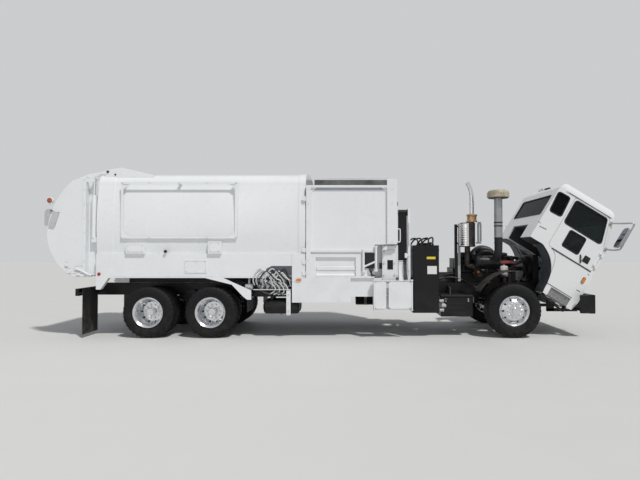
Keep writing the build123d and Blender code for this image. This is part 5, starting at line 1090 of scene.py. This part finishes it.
# front wall of the hopper: ribs, a work lamp pair and hydraulic pipes in clamps
form = Form()
face = -2.44
for y in (-0.72, -0.24, 0.24, 0.72):
    form.box((face - 0.001, face + 0.045), span(y, 0.04), (1.96, 3.15), 0.006)
form.box((face - 0.001, face + 0.05), (-0.78, 1.17), (3.06, 3.16), 0.006)
form.box((face - 0.001, face + 0.05), (-0.94, 1.17), (1.93, 2.0), 0.006)
form.paint = 1
for y in (-0.47, -0.43, 0.45, 0.49):
    form.bar((face + 0.022, y, 1.3), (face + 0.022, y, 2.98), 0.012, 12)
for z in (1.5, 2.0, 2.5, 2.9):
    for y in (-0.45, 0.47):
        form.box((face - 0.001, face + 0.04), span(y, 0.06), span(z, 0.015), 0.003)
form.paint = 2
for y in (-0.6, 0.6):
    form.box((face, face + 0.07), span(y, 0.06), (2.8, 2.9), 0.012)
form.make("hopper_front", (white, steel, seal), "chassis", "body_paint")

# pocket beside the gripper: a dark back plate of painted shade, two white cylinders and their hoses
form = Form()
form.paint = 1
form.box((-3.12, -2.915), (-1.1955, -PANEL_Y), (1.45, 1.77), 0.01)
form.paint = 0
for x, z0, z1 in ((-3.145, 1.4, 1.8), (-2.885, 1.44, 1.88)):
    form.bar((x, -1.215, z0), (x, -1.215, z1), 0.026, 18)
    form.bar((x, -1.215, z1), (x, -1.215, z1 + 0.04), 0.034, 18)
form.bar((-3.16, -1.216, 1.47), (-2.87, -1.216, 1.6), 0.02, 16)
form.box((-3.17, -3.1), (-1.235, -PANEL_Y), (1.36, 1.41), 0.006)
form.box((-2.92, -2.85), (-1.235, -PANEL_Y), (1.38, 1.44), 0.006)
form.paint = 2
for i in range(3):
    form.tube([(-3.02 + 0.03 * i, -1.2, 1.5), (-3.02 + 0.03 * i, -1.222, 1.42),
               (-2.98, -1.225, 1.34 - 0.02 * i), (-2.93 + 0.02 * i, -1.21, 1.3)], 0.011, 8, 5)
form.make("pocket_gear", (white, seal, hose), "chassis", "body_paint")

# lift carriage: bolts, a cover strip, a grab rail, and black plates of painted shade where openings are
form = Form()
for z in (1.3, 1.55, 1.8):
    form.bolts([(x, -1.1, z) for x in (-2.71, -2.49)], RIGHT, 0.014, 0.012)
form.box((-2.735, -2.465), (-1.112, -1.1), (1.84, 1.915), 0.006)
form.bolts([(-2.186, -1.16, z) for z in (1.4, 1.7, 2.0, 2.3)], RIGHT, 0.01, 0.01)
form.tube([(-2.185, -1.168, 2.42), (-2.185, -1.185, 2.36), (-2.185, -1.185, 1.99), (-2.185, -1.168, 1.93)],
          0.01, 10, 4)
form.paint = 1
form.box((-2.805, -2.745), (-1.098, -1.02), (1.434, 1.559), 0.004)
form.box((-2.64, -2.52), (-1.1035, -1.099), (1.42, 1.62), 0.004)
form.bar((-2.212, -1.08, 2.62), (-2.225, -1.08, 2.62), 0.07, 28)
form.bolts([(-2.158, -1.08 + 0.03 * math.cos(a), 2.62 + 0.03 * math.sin(a)) for a in (0.5, 2.6, 4.7)],
           AHEAD, 0.008, 0.006)
form.make("carriage_hardware", (white, black), "lift_slide", "body_paint")

# arm: black upper mast with its white foot, cylinder eye, rod and hoses
form = Form()
ARM_X0, ARM_X1 = -2.41, -2.232


def arm_side(z):
    """Inner and outer y of the arm at height z."""
    inner = [(0.76, -1.165), (1.3, -1.05), (2.4, -1.05), (2.62, -1.035)]
    outer = [(0.76, -1.2347), (1.18, -1.2347), (1.45, -1.145), (2.4, -1.13), (2.62, -1.125)]

    def along(line):
        for (z0, y0), (z1, y1) in zip(line, line[1:]):
            if z <= z1:
                return y0 + (y1 - y0) * (z - z0) / (z1 - z0)
        return line[-1][1]
    return along(inner), along(outer)


def arm_part(levels):
    """One colour of the arm, its corners cut back, through its sections at some heights."""
    edge = 0.008
    rings = []
    for z in levels:
        y_in, y_out = arm_side(z)
        rings.append([(ARM_X0 + edge, y_out, z), (ARM_X1 - edge, y_out, z), (ARM_X1, y_out + edge, z),
                      (ARM_X1, y_in - edge, z), (ARM_X1 - edge, y_in, z), (ARM_X0 + edge, y_in, z),
                      (ARM_X0, y_in - edge, z), (ARM_X0, y_out + edge, z)])
    form.loft(rings)


arm_part((1.58, 1.9, 2.4, 2.6))
form.turned([(0, 0), (0.055, 0), (0.062, 0.006), (0.062, ARM_X1 - ARM_X0 - 0.006),
             (0.055, ARM_X1 - ARM_X0), (0, ARM_X1 - ARM_X0)], (ARM_X0, -1.08, 2.62), AHEAD, 36)
form.paint = 1
arm_part((0.762, 1.0, 1.18, 1.3, 1.45, 1.58))
for z in (1.6, 1.555):
    y_in, y_out = arm_side(z)
    form.box((ARM_X0 - 0.006, ARM_X1 + 0.006), (y_out - 0.008, y_in + 0.008), span(z, 0.01), 0.003)
form.box((-2.284, -2.232), (-1.205, -1.135), (1.663, 1.767), 0.01)
form.bar((-2.232, -1.175, 1.715), (-2.214, -1.175, 1.715), 0.028, 20)
form.paint = 2
form.bar((-2.222, -1.185, 1.715), (-2.222, -1.215, 1.267), 0.009, 10)
form.paint = 3
for i in range(3):
    x = -2.3 + 0.024 * i
    form.tube([(x, -1.15, 1.62), (x, -1.172, 1.52), (x, -1.205, 1.4), (x, -1.238, 1.26),
               (x + 0.01, -1.246, 1.215)], 0.0095, 8, 5)
form.make("arm", (black, white, rod_chrome, hose), "lift_arm", "body_paint", 30, parts=("lift_arm",))

# gripper's carrier and the two folded fingers with rounded tips, ribs and rubber edges
HINGES_X, HINGE_Y = {"front": -2.148, "rear": -2.924}, -1.3
form = Form()
form.plate(panel((-2.95, -2.122), (0.6, 1.2), 0.03), "y", -1.235, -1.247)
for z in (0.612, 0.9, 1.188):
    form.box((-2.93, -2.14), (-1.247, -1.274), span(z, 0.01), 0.003)
for x in HINGES_X.values():
    for z in (0.593, 1.207):
        form.plate(panel(span(x, 0.026), (-1.326, -1.235), 0.014), "z", *span(z, 0.007))
    form.bar((x, HINGE_Y, 0.59), (x, HINGE_Y, 1.21), 0.0138, 16)
    form.bolts([(x, HINGE_Y, 1.214)], UP, 0.013, 0.01)
    form.bolts([(x, HINGE_Y, 0.586)], DOWN, 0.013, 0.01)
form.make("gripper_carrier", white, "lift_arm", "body_paint", parts=("gripper_base",))

for name, toward, reach, corner in (("front", -1, 0.48, 0.07), ("rear", 1, 0.245, 0.05)):
    form, x = Form(), HINGES_X[name]
    tip, root = x + toward * reach, x + toward * 0.016
    outline = rounded([(root, 0.625), (root, 1.175), (tip, 1.18), (tip, 0.62)], corner, 8)
    form.plate(outline, "y", -1.3145, -1.3085)
    for z in (0.7, 0.9, 1.1):
        form.box((root, tip - toward * 0.07), (-1.3085, -1.2935), span(z, 0.011), 0.003)
    form.turned([(0, 0), (0.0195, 0), (0.0195, 0.56), (0, 0.56)], (x, HINGE_Y, 0.62), UP, 24)
    form.paint = 1
    form.box((tip - toward * 0.032, tip - toward * 0.008), (-1.3085, -1.2935), (0.7, 1.1), 0.004)
    form.make(f"finger_{name}_plate", (white, seal), f"finger_{name}", "body_paint",
              parts=(f"finger_{name}",))

# Tailgate
form = Form()
for form.flip in SIDES.values():
    # turnbuckle locks low on the sides, a row of bolts and an edge bar
    form.box((-9.16, -8.98), (BODY_Y, 1.236), (1.4, 1.49), 0.006)
    form.bar((-9.11, 1.232, 1.445), (-8.8, 1.232, 1.3), 0.016, 14)
    form.bar((-9.11, 1.222, 1.445), (-9.11, 1.246, 1.445), 0.026, 18)
    form.bar((-8.93, 1.232, 1.36), (-8.86, 1.232, 1.327), 0.025, 6)
    form.box((-9.2, -8.96), (BODY_Y, 1.23), (1.275, 1.335), 0.005)
    form.bolts([(-8.96, BODY_Y, z) for z in (1.6, 1.9, 2.2, 2.5, 2.8, 3.1, 3.3)], OUT, 0.01, 0.008)
    form.box((-9.0, -8.975), (BODY_Y, 1.228), (1.5, 3.34), 0.002)
    # lock lugs low on the edge, and the lamp housing that leans with the bowed back
    for x, z, w, h in ((-9.27, 1.395, 0.1, 0.1), (-9.07, 1.33, 0.09, 0.07), (-9.32, 1.53, 0.07, 0.09)):
        form.box(span(x, w / 2), (BODY_Y, 1.24), span(z, h / 2), 0.008)
    # the housing's grey is painted shade for its side in shade
    form.paint = 1
    housing = rounded([(-9.7, 2.325), (-9.6, 2.655), (-9.476, 2.6), (-9.576, 2.3)], 0.02)
    form.plate(housing, "y", BODY_Y, 1.246)
    form.paint = 2
    form.bar((-9.665, 1.235, 2.655), (-9.48, 1.235, 2.6), 0.01, 10)
    form.paint = 0
form.make("tailgate_hardware", (white, mirror_grey, seal), "tailgate", "body_paint")

form = Form()
for form.flip in SIDES.values():
    form.paint = 1
    outline = [(-9.798, 2.36), (-9.795, 2.62), (-9.77, 2.665), (-9.735, 2.69), (-9.6, 2.685),
               (-9.65, 2.335), (-9.78, 2.335)]
    form.plate(outline, "y", 1.015, 1.2115)
    form.paint = 2
    for z in (2.45, 2.575):
        form.turned([(0, 0), (0.046, 0), (0.048, 0.006), (0.04, 0.014), (0, 0.018)], (-9.797, 1.115, z),
                    BACK, 28)
    form.paint = 0
    form.bar((-9.73, 1.15, 2.69), (-9.73, 1.15, 2.83), 0.01, 12)
    form.turned([(0, -0.022), (0.064, -0.022), (0.07, -0.016), (0.07, 0.018), (0.066, 0.024),
                 (0.056, 0.024), (0.056, 0.015), (0, 0.015)], (-9.72, 1.15, 2.87), OUT, 40)
    form.paint = 3
    form.turned([(0, 0.014), (0.0555, 0.014), (0.0555, 0.024), (0.04, 0.033), (0, 0.037)],
                (-9.72, 1.15, 2.87), OUT, 32)
lens_brown = surface("lens_brown", (0.42, 0.1, 0.03), 0.2, coat=0.5, vary=0.15, grain=120, bump=0.2)
form.make("tailgate_beacons", (white, light_grey, red_lens, lens_brown), "tailgate", "lamp_plastic",
          parts=("tailgate_lamps",))

# Cab front and inside
form = Form()


def grille_x(z):
    """How far forward the grille is at a height; it leans back over its upper part."""
    return 1.526 if z < 1.254 else 1.526 - 0.032 * (z - 1.254) / 0.306


surround = panel((-0.755, 0.755), (1.015, 1.552), 0.04)
moulding(form, stepped(surround, 0.08), lambda y, z, h: Vector((grille_x(z) + h, y, z)), 0.03, 0.012)
for i in range(9):
    z = 1.075 + i * 0.053
    x = grille_x(z)
    form.box((x - 0.001, x + 0.011), (-0.725, 0.725), span(z, 0.012), 0.004)
form.paint = 1
for form.flip in SIDES.values():
    lamp_outline = panel((0.77, 0.95), (1.03, 1.18), 0.025)
    form.paint = 2
    form.plate(lamp_outline, "x", 1.525, 1.529)
    form.paint = 1
    form.plate(panel((0.782, 0.938), (1.042, 1.168), 0.02), "x", 1.529, 1.536)
    form.paint = 3
    form.plate(panel((0.965, 1.03), (1.04, 1.17), 0.02), "x", 1.5085, 1.522)
    form.paint = 2
    moulding(form, lamp_outline, lambda y, z, h: Vector((1.529 + h, y, z)), 0.016, 0.008)
form.make("cab_face", (seal, clear_lens, chrome, amber_lens), "cab", "cab_trim", turn=CAB)

# bumper: rounded bar with its end wraps, fog lamps, blank plate, brackets and bolts
form = Form()
bumper = panel((1.535, 1.67), (0.51, 0.9), 0.022)
form.loft([[(x, y, z) for x, z in bumper] for y in (-1.22, -1.0, 0, 1.0, 1.22)])
for form.flip in SIDES.values():
    form.box((1.365, 1.56), (1.16, 1.2195), (0.512, 0.898), 0.015)
    form.box((0.96, 1.12), (RAIL_Y, 0.4903), (0.465, 1.06), 0.005)
    form.box((0.96, 1.64), (RAIL_Y, 0.4903), (0.465, 0.535), 0.005)
    form.paint = 1
    form.turned([(0, 0), (0.058, 0), (0.06, 0.008), (0.05, 0.014), (0, 0.018)], (1.668, 0.86, 0.7), AHEAD,
                28)
    form.paint = 0
    form.turned([(0.06, 0), (0.069, 0.002), (0.069, 0.012), (0.06, 0.014)], (1.668, 0.86, 0.7), AHEAD, 28)
    form.bolts([(1.67, y, z) for y in (0.4, 0.52) for z in (0.6, 0.8)], AHEAD, 0.014, 0.012)
form.paint = 2
form.box((1.669, 1.674), (-0.16, 0.16), (0.62, 0.73), 0.001)
form.make("bumper", (black, clear_lens, label_white), "chassis", "chassis_black", parts=("front_bumper",))


def cushion(name, flip, outline, low, high, place):
    """One crowned pad: an outline of two values, swollen between low and high along the third."""
    form = Form(flip)
    ca, cb = (sum(values) / len(outline) for values in zip(*outline))

    def ring(share, level):
        return [place(ca + (a - ca) * share, cb + (b - cb) * share, level) for a, b in outline]

    def swell(t):
        return 1 - 0.1 * (2 * t - 1) ** 4 - 0.02 * abs(2 * t - 1)

    form.loft([ring(swell(k / 12), low + (high - low) * k / 12) for k in range(13)], caps=False)
    for level, bulge in ((low, -0.01), (high, 0.01)):
        layers = [ring(0.88 * s, level + bulge * (1 - s * s)) for s in (1, 0.85, 0.6, 0.3, 0.02)]
        form.loft(layers, caps=False)
        form.add(layers[-1], [tuple(range(len(outline)))])
    for t in (0.12, 0.88):
        seam = ring(swell(t) + 0.004, low + (high - low) * t)
        form.tube(seam + seam[:1], 0.004, 6, 1)
    made = form.make(name, cloth, "cab", "seat_fabric", 60, turn=CAB, parts=("seat_cushions",))


for name, flip in SIDES.items():
    y0, y1 = span(0.75, 0.212)
    base = panel((0.335, 0.838), (y0, y1), 0.07, 6)
    cushion(f"seat_pad_{name}", flip, base, 1.702, 1.822, lambda a, b, h: (a, b, h))
    rest = panel((y0, y1), (1.79, 2.43), 0.09, 6)
    cushion(f"seat_back_{name}", flip, rest, 0.198, 0.318, lambda a, b, h: (h, a, b))

form = Form()
# the dashboard's instruments, vents, switches and glove box lid, then mats, gear lever and pedals
for y, r in ((0.58, 0.055), (0.7, 0.06), (0.82, 0.055), (0.46, 0.035), (0.93, 0.035)):
    form.paint = 1
    form.turned([(0, 0), (r, 0), (r, 0.006), (r * 0.92, 0.008), (r * 0.9, 0.004), (0, 0.004)],
                (1.1205, y, 1.93), BACK, 32)
    form.paint = 2
    form.bar((1.116, y, 1.93), (1.114, y + r * 0.5, 1.93 + r * 0.5), 0.0018, 6)
form.paint = 1
for y in (0.25, 0.0, -0.3, -0.8):
    for k in range(4):
        form.box((1.112, 1.1205), span(y, 0.06), (1.915 + k * 0.014, 1.922 + k * 0.014), 0.001)
form.box((1.113, 1.1205), (-0.62, -0.4), (1.86, 1.965), 0.003)
for k in range(8):
    form.box((1.112, 1.1205), (0.1 + k * 0.038, 0.128 + k * 0.038), (1.85, 1.872), 0.002)
form.paint = 0
form.box((1.13, 1.4), (-0.97, 0.97), (2.0, 2.012), 0.006)
for form.flip in SIDES.values():
    form.box((0.4, 1.05), (0.52, 0.98), (1.5045, 1.512), 0.003)
form.tube([(0.62, 0.1, 1.83), (0.62, 0.1, 1.98), (0.6, 0.1, 2.06)], 0.012, 10, 4)
knob = [(0.028 * math.sin(math.pi * k / 8), -0.028 * math.cos(math.pi * k / 8)) for k in range(9)]
form.turned(knob, (0.6, 0.1, 2.08), UP, 16)
for y in (0.58, 0.78):
    form.box((1.08, 1.1), span(y, 0.05), (1.56, 1.66), 0.006)
form.paint = 3
form.box((1.1, 1.205), (-0.85, 0.85), (2.735, 2.742))
form.make("cab_inside", (dark_plastic, seal, label_white, grey_plastic), "cab", "cab_trim", turn=CAB)

# sun visors, belts and roof lining
form = Form()
for form.flip in SIDES.values():
    form.box((1.1, 1.13), (0.35, 0.85), (2.62, 2.74), 0.008)
    form.paint = 1
    form.tube([(0.2, 0.985, 2.45), (0.22, 0.98, 2.1), (0.25, 0.98, 1.75), (0.28, 0.97, 1.6)], 0.014, 6, 3)
    form.paint = 0
form.paint = 2
form.box((-0.03, 1.17), (-0.965, 0.965), (2.656, 2.666), 0.004)
form.make("cab_visors", (grey_plastic, seal, dark_plastic), "cab", "cab_trim", turn=CAB)

# Light, floor and camera
world = bpy.data.worlds.new("studio")
bpy.context.scene.world = world
world.use_nodes = True
tree = world.node_tree
link = tree.links.new


def background(node, colour, strength):
    """Sets a background's colour and strength."""
    node.inputs["Color"].default_value = (*colour, 1)
    node.inputs["Strength"].default_value = strength
    return node.outputs[0]


# what lights the truck is dimmer than what the camera, glossy and clear faces see
plain = background(tree.nodes["Background"], (0.93, 0.96, 1.0), 0.32)
shown = background(tree.nodes.new("ShaderNodeBackground"), (0.90, 0.92, 0.94), 0.66)
rays = tree.nodes.new("ShaderNodeLightPath")
seen = rays.outputs["Is Camera Ray"]
for kind in ("Is Glossy Ray", "Is Transmission Ray"):
    either = tree.nodes.new("ShaderNodeMath")
    either.operation = "MAXIMUM"
    link(seen, either.inputs[0])
    link(rays.outputs[kind], either.inputs[1])
    seen = either.outputs[0]
choice = tree.nodes.new("ShaderNodeMixShader")
for socket, output in zip(choice.inputs, (seen, plain, shown)):
    link(output, socket)
link(choice.outputs[0], tree.nodes["World Output"].inputs["Surface"])


def lamp(name, kind, energy, place, target, **settings):
    """A lamp that points at a target."""
    data = bpy.data.lights.new(name, kind)
    data.energy = energy
    for key, value in settings.items():
        setattr(data, key, value)
    made = bpy.data.objects.new(name, data)
    made.location = place
    made.rotation_euler = (Vector(target) - Vector(place)).to_track_quat("-Z", "Y").to_euler()
    bpy.context.scene.collection.objects.link(made)


lamp("sun", "SUN", 2.35, (5.5, -6.6, 14.0), (0, 0, 1), angle=math.radians(4), color=(1.0, 0.98, 0.95))
lamp("fill", "AREA", 110, (-6, -13, 5), (-1, 0, 1.5), size=7, color=(0.95, 0.97, 1.0))

floor = Form()
floor.box((-60, 60), (-60, 60), (-0.1, -0.002))
data = bpy.data.meshes.new("floor")
data.from_pydata(floor.points, [], floor.faces)
ground = bpy.data.objects.new("floor", data)
bpy.context.scene.collection.objects.link(ground)
data.materials.append(surface("floor_pale", (0.66, 0.66, 0.65), 0.8, vary=0.01, dirt_share=0.0, bump=0.02))

camera = bpy.data.cameras.new("camera")
camera.lens, camera.sensor_width = 27, 36
camera.shift_x = -0.048
view = bpy.data.objects.new("camera", camera)
view.location = (AXLE.x - 3.41, -11.21, 1.83)
view.rotation_euler = (math.radians(91.2), 0, 0)
bpy.context.scene.collection.objects.link(view)
bpy.context.scene.camera = view
bpy.context.scene.view_settings.view_transform = "Standard"
